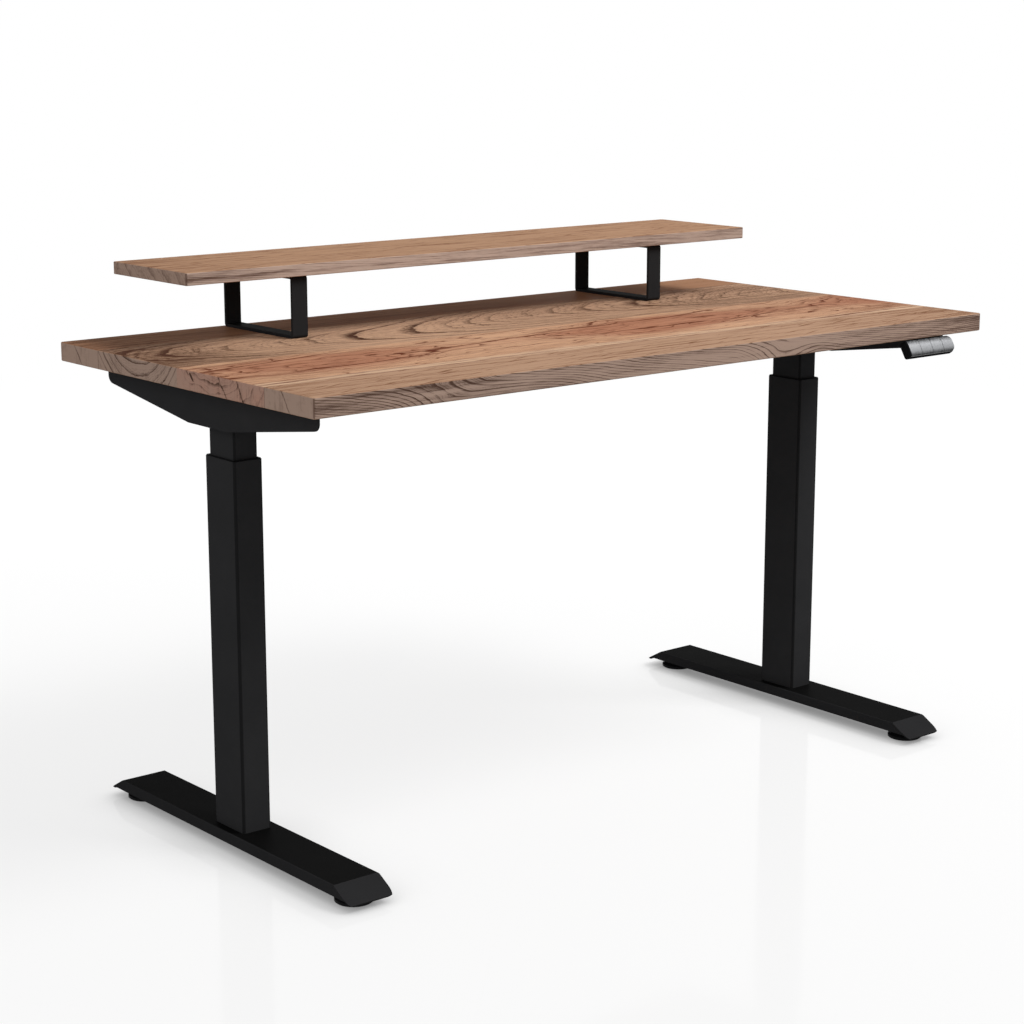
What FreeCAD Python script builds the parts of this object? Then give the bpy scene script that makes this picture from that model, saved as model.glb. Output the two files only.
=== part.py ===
import FreeCAD, Part
import math
import os
from types import SimpleNamespace

import Sketcher
from FreeCAD import Placement, Rotation, Vector

# A height-adjustable desk with a monitor shelf, at its photographed height.
# Millimetres. The origin is on the floor under the middle of the desktop:
# X runs along the desk to the user's right, Y to the back, Z up.

SIZES = {
    # desktop
    "desk_width": 1400,
    "desk_depth": 700,
    "desk_thick": 30,
    "desk_corner": 5,
    "desk_ease": 2,
    # monitor shelf and its two strap loops
    "shelf_length": 1200,
    "shelf_depth": 220,
    "shelf_thick": 20,
    "shelf_back_inset": 0,
    "shelf_corner": 4,
    "shelf_ease": 1.5,
    "riser_height": 100,
    "riser_end_inset": 215,
    "riser_inset": 10,
    "strap_width": 29,
    "strap_thick": 5,
    "strap_bend": 1,
    "riser_screw_inset": 35,
    # columns
    "column_inset": 94,
    "outer_length": 581,
    "outer_width": 51,
    "outer_depth": 81,
    "outer_wall": 2,
    "outer_bend": 3,
    "inner_wall": 2,
    "inner_bend": 2,
    "glide_side": 2.5,
    "glide_end": 4,
    "inner_floor_gap": 54,
    "lift_gap": 54,
    "slide_gap": 0.3,
    "shoe_gap": 0.05,
    "shoe_height": 40,
    "collar_height": 55,
    "collar_rim": 1.5,
    "collar_rim_inset": 1,
    # feet
    "foot_length": 676,
    "foot_width": 81.5,
    "foot_height": 35,
    "foot_wall": 3,
    "foot_edge": 2.5,
    "skirt_height": 17.4,
    "flap_run": 39,
    "flap_drop": 22,
    "flap_end_in": 1.5,
    "flap_end_drop": 2.6,
    "flap_corner": 11,
    "skirt_end_gap": 10,
    "base_plate_thick": 8,
    "foot_bolt_across": 26,
    "foot_bolt_along": 48,
    "foot_bolt_radius": 4,
    "foot_bolt_head_radius": 7,
    "foot_bolt_head": 4.4,
    "foot_bolt_length": 10,
    "bolt_room": 0.5,
    # levellers
    "leveller_inset": 44.2,
    "pad_radius": 29.5,
    "pad_sole_inset": 2,
    "pad_neck_radius": 11,
    "pad_sole_rise": 1.6,
    "pad_rim": 4,
    "pad_height": 13,
    "stud_radius": 4,
    "stud_top_gap": 1,
    "weld_nut_radius": 7.5,
    "leveller_travel": 8,
    "thread_gap": 0.05,
    # side brackets
    "bracket_offset": 44,
    "bracket_length": 577,
    "bracket_wall": 2.5,
    "bracket_lip": 4.4,
    "bracket_end_drop": 30.6,
    "bracket_flat": 107,
    "bracket_corner": 13,
    "bracket_flange": 50,
    "flange_screw_inset": 36,
    "flange_screw_step": 180,
    "flange_screw_from_web": 20,
    # column heads and cross rails
    "head_room": 10.5,
    "head_length": 120,
    "head_inner_reach": 39,
    "head_wall": 2.5,
    "head_plate": 3,
    "spindle_room": 2,
    "rail_depth": 25,
    "rail_height": 40,
    "rail_wall": 2,
    "rail_drop": 5,
    "rail_overlap": 20,
    "rail_bolt_pitch": 30,
    "rail_bolt_radius": 3,
    "rail_bolt_head_radius": 5,
    "rail_bolt_head": 3.3,
    "rail_bolt_length": 10,
    # lifting gear
    "spindle_radius": 8,
    "spindle_end_gap": 50,
    "spindle_cap_gap": 1,
    "nut_tube_wall": 3,
    "nut_below_mouth": 76,
    "nut_shoulder": 2,
    "nut_height": 30,
    "bearing_radius": 15,
    "bearing_height": 9,
    "bearing_gap": 0.02,
    "running_gap": 0.05,
    "gear_end_wall": 10,
    "gear_wall": 4,
    "bearing_roof": 5,
    "cover_roof": 3,
    "cover_bore_depth": 7,
    "wheel_radius": 18,
    "wheel_height": 14,
    "wheel_lift": 2,
    "wheel_room": 2,
    "worm_radius": 6.5,
    "worm_length": 36,
    "worm_room": 2,
    "worm_wheel_gap": 0.5,
    "worm_shaft_radius": 4,
    "worm_journal": 5,
    "shaft_end_gap": 1,
    "motor_radius": 22.5,
    "motor_length": 110,
    "motor_boss_radius": 14,
    "motor_gap": 1,
    "motor_shaft_depth": 36,
    "motor_cap_radius": 18,
    "motor_cap_length": 9,
    # screws into the wood
    "screw_radius": 2.25,
    "screw_depth": 16,
    "screw_head_radius": 4.5,
    "screw_head": 2.5,
    "riser_screw_radius": 2,
    "riser_screw_depth": 13,
    "riser_screw_head_radius": 4,
    "riser_screw_head": 2,
    # control box
    "control_length": 260,
    "control_side_gap": 12,
    "control_height": 38,
    "control_wall": 2,
    "control_lid": 2,
    "vent_pitch": 9,
    "vent_width": 4,
    "vent_rim": 10,
    "control_tab": 16,
    "control_tab_depth": 24,
    "control_tab_spread": 60,
    "socket_width": 18,
    "socket_height": 14,
    "socket_depth": 6,
    "socket_pitch": 40,
    # handset
    "handset_edge_gap": 136,
    "handset_reach": 2,
    "handset_drop": 15.5,
    "handset_tilt": 59.2,
    "handset_corner": 9.5,
    "housing_low": 15.2,
    "housing_high": 14.3,
    "housing_back": 11,
    "housing_bend": 4.9,
    "housing_setback": 1,
    "housing_hollow_half": 11,
    "housing_hollow_back": 6.9,
    "housing_hollow_front": 2.5,
    "cap_thick": 2.5,
    "key_length": 27.2,
    "key_gap": 0.8,
    "key_half_height": 14,
    "key_back": 0.3,
    "key_crown": 5.1,
    "key_face_radius": 66,
    "key_stem_radius": 2,
    "key_stem_tip": 3.1,
    "stem_room": 0.3,
    "board_back": 6.6,
    "board_thick": 1.2,
    "switch_size": 6,
    "switch_top": 4.5,
    "handset_plate_half": 43,
    "handset_plate_front": 6,
    "handset_plate_back": 47,
    "handset_web_thick": 4,
    "handset_web_drop": 12,
    "handset_screw_back": 36,
    "handset_screw_pitch": 36,
}

AXIS_TURN = {
    "X": Rotation(Vector(0, 1, 0), 90),
    "Y": Rotation(Vector(1, 0, 0), -90),
    "Z": Rotation(),
}
SIDES = {"left": -1, "right": 1}
HALF_TURN = math.degrees(math.pi)
FOUR_IN_A_ROW = (-1.5, -0.5, 0.5, 1.5)
VENTS_IN_A_ROW = [step - 7.5 for step in range(16)]
TOUCH = 1e-3


class Size:
    """A size: its value now, and the text that ties it to the sheet."""

    def __init__(self, text, value):
        self.text = text
        self.value = value

    def __add__(self, other):
        other = as_size(other)
        return Size(f"({self.text} + {other.text})", self.value + other.value)

    def __sub__(self, other):
        other = as_size(other)
        return Size(f"({self.text} - {other.text})", self.value - other.value)

    def __mul__(self, other):
        other = as_size(other)
        return Size(f"({self.text} * {other.text})", self.value * other.value)

    def __truediv__(self, other):
        other = as_size(other)
        return Size(f"({self.text} / {other.text})", self.value / other.value)

    def __neg__(self):
        return self * -1

    def __rsub__(self, other):
        return as_size(other) - self

    __radd__ = __add__
    __rmul__ = __mul__


def as_size(number):
    """A plain number as a size."""
    return number if isinstance(number, Size) else Size(f"({number})", number)


doc = FreeCAD.newDocument("Desk")
sheet = doc.addObject("Spreadsheet::Sheet", "Dims")
for row, (alias, number) in enumerate(SIZES.items(), start=1):
    sheet.set(f"A{row}", alias.replace("_", " "))
    sheet.set(f"B{row}", str(number))
    sheet.setAlias(f"B{row}", alias)
doc.recompute()
size = SimpleNamespace(**{alias: Size(f"Dims.{alias}", number) for alias, number in SIZES.items()})
nodes = []


def bind(thing, prop, value):
    """Tie a property to the sheet."""
    thing.setExpression(prop, as_size(value).text)


def put(thing, x=0, y=0, z=0):
    """Tie a placement's base point to the sheet."""
    for letter, value in zip("xyz", (x, y, z)):
        bind(thing, f"Placement.Base.{letter}", value)


def node(thing, label):
    """Keep a finished piece under its own name."""
    thing.Label = label
    nodes.append(thing)
    return thing


def stand(thing, side):
    """Move a piece from the column's own frame, X outwards, to its side of the desk."""
    sign = SIDES[side]
    turn = HALF_TURN if sign < 0 else 0
    thing.Placement = Placement(Vector(), Rotation(Vector(0, 0, 1), turn))
    bind(thing, "Placement.Base.x", column_spacing * sign / 2)
    return thing


def block(x, y, z):
    """A box between two stations on each axis."""
    box = doc.addObject("Part::Box", "Block")
    for prop, (low, high) in zip(("Length", "Width", "Height"), (x, y, z)):
        bind(box, prop, as_size(high) - low)
    put(box, x[0], y[0], z[0])
    return box


def rod(axis, radius, span, at):
    """A round bar along an axis between two stations; at gives its other two coordinates."""
    bar = doc.addObject("Part::Cylinder", "Rod")
    bar.Placement = Placement(Vector(), AXIS_TURN[axis])
    bind(bar, "Radius", radius)
    bind(bar, "Height", as_size(span[1]) - span[0])
    base = list(at)
    base.insert("XYZ".index(axis), span[0])
    put(bar, *base)
    return bar


def fuse(*shapes):
    """One solid from several that meet."""
    joined = doc.addObject("Part::MultiFuse", "Fuse")
    joined.Shapes = list(shapes)
    joined.Refine = True
    return joined


def cut(base, *tools):
    """A solid less one or more others."""
    result = doc.addObject("Part::Cut", "Cut")
    result.Base = base
    result.Tool = tools[0] if len(tools) == 1 else fuse(*tools)
    result.Refine = True
    return result


def common(base, tool):
    """What two solids share."""
    result = doc.addObject("Part::Common", "Common")
    result.Base = base
    result.Tool = tool
    return result


def group(shapes):
    """Separate like solids kept as one piece."""
    bundle = doc.addObject("Part::Compound", "Group")
    bundle.Links = list(shapes)
    return bundle


def new_body(name):
    """An empty body."""
    return doc.addObject("PartDesign::Body", name)


def sketch_in(body, role, offset):
    """A sketch on one of the body's own planes, moved along the plane's normal."""
    plane = next(item for item in body.Origin.OriginFeatures if item.Role == role)
    sketch = body.newObject("Sketcher::SketchObject", "Sketch")
    sketch.AttachmentSupport = [(plane, "")]
    sketch.MapMode = "FlatFace"
    bind(sketch, "AttachmentOffset.Base.z", offset)
    return sketch


def pin(sketch, kind, geometry, point, value):
    """Tie one coordinate of a sketch point to the sheet, from the sketch's origin."""
    value = as_size(value)
    index = sketch.addConstraint(Sketcher.Constraint(kind, -1, 1, geometry, point, value.value))
    bind(sketch, f"Constraints[{index}]", value)


def outline(sketch, corners):
    """A closed straight-sided outline."""
    points = [Vector(as_size(x).value, as_size(y).value, 0) for x, y in corners]
    first = sketch.GeometryCount
    count = len(points)
    for i in range(count):
        sketch.addGeometry(Part.LineSegment(points[i], points[(i + 1) % count]), False)
    for i, (x, y) in enumerate(corners):
        following = first + (i + 1) % count
        sketch.addConstraint(Sketcher.Constraint("Coincident", first + i, 2, following, 1))
        pin(sketch, "DistanceX", first + i, 1, x)
        pin(sketch, "DistanceY", first + i, 1, y)


def circle(sketch, radius, x, y):
    """A circle at a place in the sketch."""
    radius = as_size(radius)
    centre = Vector(as_size(x).value, as_size(y).value, 0)
    ring = sketch.addGeometry(Part.Circle(centre, Vector(0, 0, 1), radius.value), False)
    index = sketch.addConstraint(Sketcher.Constraint("Radius", ring, radius.value))
    bind(sketch, f"Constraints[{index}]", radius)
    pin(sketch, "DistanceX", ring, 3, x)
    pin(sketch, "DistanceY", ring, 3, y)


def rounded_rectangle(sketch, width, depth, radius, middle=(0, 0)):
    """A rectangle with round corners about a middle point: four arcs and the lines that touch them."""
    half_x = as_size(width) / 2 - radius
    half_y = as_size(depth) / 2 - radius
    mid_x, mid_y = as_size(middle[0]), as_size(middle[1])
    r = as_size(radius).value
    quarter = math.pi / 2
    first = sketch.GeometryCount
    corners = ((1, 1), (-1, 1), (-1, -1), (1, -1))
    centres = [(mid_x + half_x * sx, mid_y + half_y * sy) for sx, sy in corners]
    for k, (x, y) in enumerate(centres):
        ring = Part.Circle(Vector(x.value, y.value, 0), Vector(0, 0, 1), r)
        sketch.addGeometry(Part.ArcOfCircle(ring, k * quarter, (k + 1) * quarter), False)
    for k in range(4):
        start = sketch.getPoint(first + k, 2)
        end = sketch.getPoint(first + (k + 1) % 4, 1)
        sketch.addGeometry(Part.LineSegment(start, end), False)
    for k, (x, y) in enumerate(centres):
        line = first + 4 + k
        sketch.addConstraint(Sketcher.Constraint("Tangent", first + k, 2, line, 1))
        sketch.addConstraint(Sketcher.Constraint("Tangent", line, 2, first + (k + 1) % 4, 1))
        index = sketch.addConstraint(Sketcher.Constraint("Radius", first + k, r))
        bind(sketch, f"Constraints[{index}]", radius)
        pin(sketch, "DistanceX", first + k, 3, x)
        pin(sketch, "DistanceY", first + k, 3, y)


def pad(body, sketch, length):
    """Add material on the sketch's normal side."""
    feature = body.newObject("PartDesign::Pad", "Pad")
    feature.Profile = sketch
    bind(feature, "Length", length)
    return feature


def straight_along(edge, letter):
    """Whether an edge is a straight line along an axis."""
    if edge.Curve.TypeId != "Part::GeomLine":
        return False
    return abs(abs(getattr(edge.Curve.Direction, letter)) - 1) < TOUCH


def near(value, wanted):
    """Whether a coordinate is at a place, on either side of the middle."""
    return abs(abs(value) - abs(as_size(wanted).value)) < TOUCH


def lies_at(edge, height):
    """Whether an edge lies flat at a height."""
    return all(abs(vertex.Point.z - as_size(height).value) < TOUCH for vertex in edge.Vertexes)


def round_edges(body, radius, wanted):
    """Round the body's edges that the test picks."""
    doc.recompute()
    base = body.Tip
    names = [f"Edge{i}" for i, edge in enumerate(base.Shape.Edges, start=1) if wanted(edge)]
    if not names:
        raise RuntimeError(f"{body.Label}: no edge to round")
    feature = body.newObject("PartDesign::Fillet", "Fillet")
    feature.Base = (base, names)
    bind(feature, "Radius", radius)


def span_to(sign, inner, outer):
    """Two stations on one side of the middle, the lower one first."""
    return (inner, outer) if sign > 0 else (-outer, -inner)


def at_corners(pitch_x, pitch_y):
    """The four corners of a bolt pattern."""
    return [(pitch_x * sx / 2, pitch_y * sy / 2) for sx in (-1, 1) for sy in (-1, 1)]


# Spans along the desk.
column_spacing = size.desk_width - size.column_inset * 2
riser_spacing = size.shelf_length - size.riser_end_inset * 2
leveller_spacing = size.foot_length - size.leveller_inset * 2

# The gear housing, from the wheel and worm that it holds.
worm_y = size.wheel_radius + size.worm_radius + size.worm_wheel_gap
gear_half = size.wheel_radius + size.wheel_room + size.gear_end_wall
gear_front = size.wheel_radius + size.wheel_room + size.gear_wall
gear_back = worm_y + size.worm_radius + size.worm_room + size.gear_wall
gear_floor = size.bearing_height + size.bearing_roof
gear_height = gear_floor + size.wheel_lift + size.wheel_height + size.gear_wall
gear_cover_height = size.cover_bore_depth + size.cover_roof
head_drop = size.head_plate + gear_height + gear_cover_height + size.head_room + size.bracket_wall
bracket_drop = head_drop + size.bracket_lip

# Heights that several pieces share, at the photographed height of the desktop.
column_top = size.foot_height + size.outer_length
head_floor = column_top + size.lift_gap
deck = head_floor + size.head_plate
under = head_floor + head_drop
desk_top = under + size.desk_thick
base_top = size.foot_height + size.base_plate_thick
inner_bottom = size.foot_height + size.inner_floor_gap
skirt_bottom = size.foot_height - size.skirt_height
foot_ceiling = size.foot_height - size.foot_wall
desk_front = -size.desk_depth / 2
shelf_back = size.desk_depth / 2 - size.shelf_back_inset
shelf_middle = shelf_back - size.shelf_depth / 2
shelf_bottom = desk_top + size.riser_height

# Places in the column's own frame.
web_inside = size.bracket_offset - size.bracket_wall
wheel_bottom = deck + gear_floor + size.wheel_lift
worm_z = wheel_bottom + size.wheel_height / 2
worm_bore_end = gear_half - size.gear_end_wall + size.wheel_room
gear_top = deck + gear_height
spindle_bottom = base_top + size.spindle_end_gap
spindle_top = gear_top + size.cover_bore_depth - size.spindle_cap_gap
nut_top = column_top - size.nut_below_mouth
nut_bottom = nut_top - size.nut_height
nut_tube_bore = size.spindle_radius + size.spindle_room
nut_tube_radius = nut_tube_bore + size.nut_tube_wall
motor_face = -size.head_inner_reach - size.motor_gap


def prism(name, role, start, length, corners):
    """A straight-sided outline on one of the planes, given a thickness."""
    body = new_body(name)
    sketch = sketch_in(body, role, start)
    outline(sketch, corners)
    pad(body, sketch, length)
    return body


def foot_envelope(radius, middle_z):
    """A long bar over the whole foot, whose round corners shape the foot's ends or edges."""
    body = new_body("FootEnvelope")
    sketch = sketch_in(body, "XZ_Plane", -size.foot_length / 2)
    rounded_rectangle(sketch, size.foot_width, size.foot_height * 2, radius, (0, middle_z))
    pad(body, sketch, size.foot_length)
    return body


def foot(side):
    """A folded channel: a strip bent down at both ends, with a skirt along each side and two weld nuts."""
    tip = size.foot_length / 2
    bend = tip - size.flap_run
    tip_z = size.foot_height - size.flap_drop
    low_y, low_z = tip - size.flap_end_in, tip_z - size.flap_end_drop
    inner_bend = low_y - size.flap_run * (foot_ceiling - low_z) / size.flap_drop
    half = size.foot_width / 2
    strip = prism("FootStrip", "YZ_Plane", -half, size.foot_width, [
        (-tip, tip_z), (-bend, size.foot_height), (bend, size.foot_height), (tip, tip_z),
        (low_y, low_z), (inner_bend, foot_ceiling), (-inner_bend, foot_ceiling), (-low_y, low_z),
    ])
    round_ends = foot_envelope(size.flap_corner, low_z + size.foot_height)
    round_top = foot_envelope(size.foot_edge, as_size(0))
    strip = common(common(strip, round_ends), round_top)
    skirt_end = tip - size.skirt_end_gap
    skirts = [prism("FootSkirt", "YZ_Plane", x, size.foot_wall, [
        (-skirt_end, skirt_bottom), (skirt_end, skirt_bottom), (bend, foot_ceiling), (-bend, foot_ceiling),
    ]) for x in (-half, half - size.foot_wall)]
    nut_span = (size.pad_height + size.leveller_travel, foot_ceiling)
    nut_places = [(0, leveller_spacing * sign / 2) for sign in (-1, 1)]
    nuts = [rod("Z", size.weld_nut_radius, nut_span, place) for place in nut_places]
    threads = [rod("Z", size.stud_radius + size.thread_gap, nut_span, place) for place in nut_places]
    bolt_hole = size.foot_bolt_radius + size.bolt_room
    bolt_places = at_corners(size.foot_bolt_across, size.foot_bolt_along)
    holes = [rod("Z", bolt_hole, (foot_ceiling, size.foot_height), place) for place in bolt_places]
    return stand(cut(fuse(strip, *skirts, *nuts), *threads, *holes), side)


def foot_bolts(side):
    """Button-head bolts from inside the foot up into the column's base plate."""
    head_span = (foot_ceiling - size.foot_bolt_head, foot_ceiling)
    shank_span = (foot_ceiling, foot_ceiling + size.foot_bolt_length)
    bolts = []
    for place in at_corners(size.foot_bolt_across, size.foot_bolt_along):
        head = rod("Z", size.foot_bolt_head_radius, head_span, place)
        shank = rod("Z", size.foot_bolt_radius, shank_span, place)
        bolts.append(fuse(head, shank))
    return stand(group(bolts), side)


def tube(name, outer, inner, span):
    """A rectangular tube with round corners: outer and inner are width, depth and corner."""
    body = new_body(name)
    sketch = sketch_in(body, "XY_Plane", span[0])
    rounded_rectangle(sketch, *outer)
    rounded_rectangle(sketch, *inner)
    pad(body, sketch, as_size(span[1]) - span[0])
    return body


def grown(section, gap):
    """A section, as width, depth and corner, with room added or taken off all round."""
    width, depth, corner = section
    return (width + gap * 2, depth + gap * 2, corner + gap)


outer_section = (size.outer_width, size.outer_depth, size.outer_bend + size.outer_wall)
outer_bore = grown(outer_section, -size.outer_wall)
inner_section = (
    outer_bore[0] - size.glide_side * 2,
    outer_bore[1] - size.glide_end * 2,
    size.inner_bend + size.inner_wall,
)
inner_bore = grown(inner_section, -size.inner_wall)


def outer_column(side):
    """The fixed tube, standing on the foot."""
    return stand(tube("OuterColumn", outer_section, outer_bore, (size.foot_height, column_top)), side)


def base_plate(side):
    """A plate welded into the foot of the outer tube, threaded for the foot bolts."""
    body = new_body("BasePlate")
    sketch = sketch_in(body, "XY_Plane", size.foot_height)
    rounded_rectangle(sketch, *outer_bore)
    for x, y in at_corners(size.foot_bolt_across, size.foot_bolt_along):
        circle(sketch, size.foot_bolt_radius + size.thread_gap, x, y)
    pad(body, sketch, size.base_plate_thick)
    return stand(body, side)


def guide_collar(side):
    """A plastic collar in the mouth of the outer tube, with a thin rim on top."""
    opening = grown(inner_section, size.slide_gap)
    body = tube("GuideCollar", outer_bore, opening, (column_top - size.collar_height, column_top))
    rim = sketch_in(body, "XY_Plane", column_top)
    rounded_rectangle(rim, *grown(outer_section, -size.collar_rim_inset))
    rounded_rectangle(rim, *opening)
    pad(body, rim, size.collar_rim)
    return stand(body, side)


def inner_column(side):
    """The tube that slides in the outer one, welded under the column head."""
    return stand(tube("InnerColumn", inner_section, inner_bore, (inner_bottom, head_floor)), side)


def slide_shoe(side):
    """A plastic shoe round the lower end of the inner tube."""
    running = grown(outer_bore, -size.slide_gap)
    span = (inner_bottom, inner_bottom + size.shoe_height)
    return stand(tube("SlideShoe", running, grown(inner_section, size.shoe_gap), span), side)


def nut_tube(side):
    """The standpipe that holds the drive nut up inside the inner tube."""
    span = (base_top, nut_bottom)
    pipe = rod("Z", nut_tube_radius, span, (0, 0))
    bore = rod("Z", nut_tube_bore, span, (0, 0))
    return stand(cut(pipe, bore), side)


def drive_nut(side):
    """The nut that the spindle climbs on."""
    span = (nut_bottom, nut_top)
    nut = rod("Z", nut_tube_radius + size.nut_shoulder, span, (0, 0))
    bore = rod("Z", size.spindle_radius + size.running_gap, span, (0, 0))
    return stand(cut(nut, bore), side)


def spindle(side):
    """The drive screw, as a plain bar of its outer diameter."""
    place = (column_spacing * SIDES[side] / 2, 0)
    return rod("Z", size.spindle_radius, (spindle_bottom, spindle_top), place)


def worm_wheel(side):
    """The wheel on the spindle, as its outer cylinder."""
    span = (wheel_bottom, wheel_bottom + size.wheel_height)
    wheel = rod("Z", size.wheel_radius, span, (0, 0))
    bore = rod("Z", size.spindle_radius + size.bearing_gap, span, (0, 0))
    return stand(cut(wheel, bore), side)


def worm(side):
    """The worm and its shaft, which runs into the motor."""
    half = size.worm_length / 2
    thread = rod("X", size.worm_radius, (-half, half), (worm_y, worm_z))
    shaft_span = (-gear_half - size.motor_shaft_depth, worm_bore_end + size.worm_journal)
    shaft = rod("X", size.worm_shaft_radius, shaft_span, (worm_y, worm_z))
    return stand(fuse(thread, shaft), side)


def bearing(side):
    """The ball bearing that carries the desk on the spindle."""
    span = (deck, deck + size.bearing_height)
    ring = rod("Z", size.bearing_radius, span, (0, 0))
    bore = rod("Z", size.spindle_radius + size.running_gap, span, (0, 0))
    return stand(cut(ring, bore), side)


def gear_housing(side):
    """A cast box with a bearing seat, a room for the wheel and a bore for the worm."""
    half = gear_half
    floor = deck + gear_floor
    box = block((-half, half), (-gear_front, gear_back), (deck, gear_top))
    seat = rod("Z", size.bearing_radius + size.bearing_gap, (deck, deck + size.bearing_height), (0, 0))
    passage = rod("Z", size.spindle_radius + size.spindle_room, (deck, gear_top), (0, 0))
    room = rod("Z", size.wheel_radius + size.wheel_room, (floor, gear_top), (0, 0))
    bore = rod("X", size.worm_radius + size.worm_room, (-half, worm_bore_end), (worm_y, worm_z))
    journal_span = (worm_bore_end, worm_bore_end + size.worm_journal + size.shaft_end_gap)
    journal = rod("X", size.worm_shaft_radius + size.running_gap, journal_span, (worm_y, worm_z))
    return stand(cut(box, seat, passage, room, bore, journal), side)


def gear_cover(side):
    """The lid of the gear housing, with a bush for the top of the spindle."""
    half = gear_half
    lid = block((-half, half), (-gear_front, gear_back), (gear_top, gear_top + gear_cover_height))
    bush_span = (gear_top, gear_top + size.cover_bore_depth)
    bush = rod("Z", size.spindle_radius + size.running_gap, bush_span, (0, 0))
    return stand(cut(lid, bush), side)


def motor(side):
    """The motor, on a boss at the side of the gear housing, pointing to the middle of the desk."""
    place = (worm_y, worm_z)
    back = motor_face - size.motor_length
    can = rod("X", size.motor_radius, (back, motor_face), place)
    boss = rod("X", size.motor_boss_radius, (motor_face, -gear_half), place)
    cap = rod("X", size.motor_cap_radius, (back - size.motor_cap_length, back), place)
    shaft_end = -gear_half - size.motor_shaft_depth - size.shaft_end_gap
    bore = rod("X", size.worm_shaft_radius + size.running_gap, (shaft_end, -gear_half), place)
    return stand(cut(fuse(can, boss, cap), bore), side)


def rail_bolt_stations():
    """Where the rail bolts stand along the column's own X axis."""
    middle = (web_inside - size.head_wall - size.head_inner_reach - size.rail_bolt_head_radius) / 2
    return [middle + size.rail_bolt_pitch * sign / 2 for sign in (-1, 1)]


rail_middle_z = under - size.rail_drop - size.rail_height / 2


def column_head(side):
    """A steel tray on the inner tube, open on top and towards the motor."""
    half = size.head_length / 2
    top = under - size.bracket_wall
    tray = block((-size.head_inner_reach, web_inside), (-half, half), (head_floor, top))
    room = block(
        (-size.head_inner_reach, web_inside - size.head_wall),
        (-half + size.head_wall, half - size.head_wall),
        (deck, top),
    )
    passage = rod("Z", size.spindle_radius + size.spindle_room, (head_floor, deck), (0, 0))
    bolt_hole = size.rail_bolt_radius + size.thread_gap
    holes = [rod("Y", bolt_hole, (-half, half), (x, rail_middle_z)) for x in rail_bolt_stations()]
    return stand(cut(tray, room, passage, *holes), side)


def side_bracket(side):
    """A folded arm under the desktop: a deep web, tapered to both ends, and a flange turned inwards."""
    body = new_body("SideBracket")
    half = size.bracket_length / 2
    flat = size.bracket_flat / 2
    web = sketch_in(body, "YZ_Plane", web_inside)
    outline(web, [
        (-half, under), (-half, under - size.bracket_end_drop), (-flat, under - bracket_drop),
        (flat, under - bracket_drop), (half, under - size.bracket_end_drop), (half, under),
    ])
    pad(body, web, size.bracket_wall)
    round_edges(body, size.bracket_corner, lambda edge: straight_along(edge, "x")
                and near(edge.CenterOfMass.z, under - size.bracket_end_drop))
    flange = sketch_in(body, "XY_Plane", under - size.bracket_wall)
    inside = size.bracket_offset - size.bracket_flange
    outline(flange, [
        (inside, -half), (size.bracket_offset, -half), (size.bracket_offset, half), (inside, half),
    ])
    for x, y in flange_screw_places():
        circle(flange, size.screw_radius + size.thread_gap, x, y)
    pad(body, flange, size.bracket_wall)
    return stand(body, side)


def flange_screw_places():
    """The desktop screws of one side bracket, in the column's own frame."""
    outer = size.bracket_length / 2 - size.flange_screw_inset
    x = web_inside - size.flange_screw_from_web
    stations = (-outer, size.flange_screw_step - outer, outer - size.flange_screw_step, outer)
    return [(x, y) for y in stations]


def leveller(front, side):
    """A foot pad with its threaded stud, turned about its own axis."""
    body = new_body("Leveller")
    top = foot_ceiling - size.stud_top_gap
    half = sketch_in(body, "XZ_Plane", 0)
    outline(half, [
        (0, 0), (size.pad_radius - size.pad_sole_inset, 0), (size.pad_radius, size.pad_sole_rise),
        (size.pad_radius, size.pad_sole_rise + size.pad_rim), (size.pad_neck_radius, size.pad_height),
        (size.stud_radius, size.pad_height), (size.stud_radius, top), (0, top),
    ])
    turned = body.newObject("PartDesign::Revolution", "Revolution")
    turned.Profile = half
    turned.ReferenceAxis = (half, ["V_Axis"])
    turned.Angle = 360
    sign = SIDES[side]
    put(body, column_spacing * sign / 2, leveller_spacing * (-1 if front else 1) / 2)
    return body


def wood_board(name, extent, middle_y, span, corner, ease):
    """A board with rounded upright corners and eased edges; extent is its length and depth."""
    body = new_body(name)
    sketch = sketch_in(body, "XY_Plane", span[0])
    rounded_rectangle(sketch, *extent, corner, (0, middle_y))
    pad(body, sketch, as_size(span[1]) - span[0])
    round_edges(body, ease, lambda edge: any(lies_at(edge, station) for station in span))
    return body


def riser_screw_places():
    """Where the strap screws stand, under and over the shelf."""
    reach = size.shelf_depth / 2 - size.riser_inset - size.riser_screw_inset
    return [
        (riser_spacing * sx / 2, shelf_middle + reach * sy)
        for sx in (-1, 1) for sy in (-1, 1)
    ]


def control_tab_places():
    """The screws of the control box, on a tab at each end."""
    reach = size.control_length / 2 + size.control_tab / 2
    return [(reach * sx, size.control_tab_spread * sy / 2) for sx in (-1, 1) for sy in (-1, 1)]


def handset_screw_places():
    """The screws of the handset's plate."""
    y = desk_front + size.handset_screw_back
    return [(handset_x + size.handset_screw_pitch * sx / 2, y) for sx in (-1, 1)]


def desktop_screw_places():
    """Every screw that goes up into the desktop."""
    places = []
    for sign in (-1, 1):
        for x, y in flange_screw_places():
            places.append(((column_spacing / 2 + x) * sign, y))
    return places + control_tab_places() + handset_screw_places()


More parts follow.
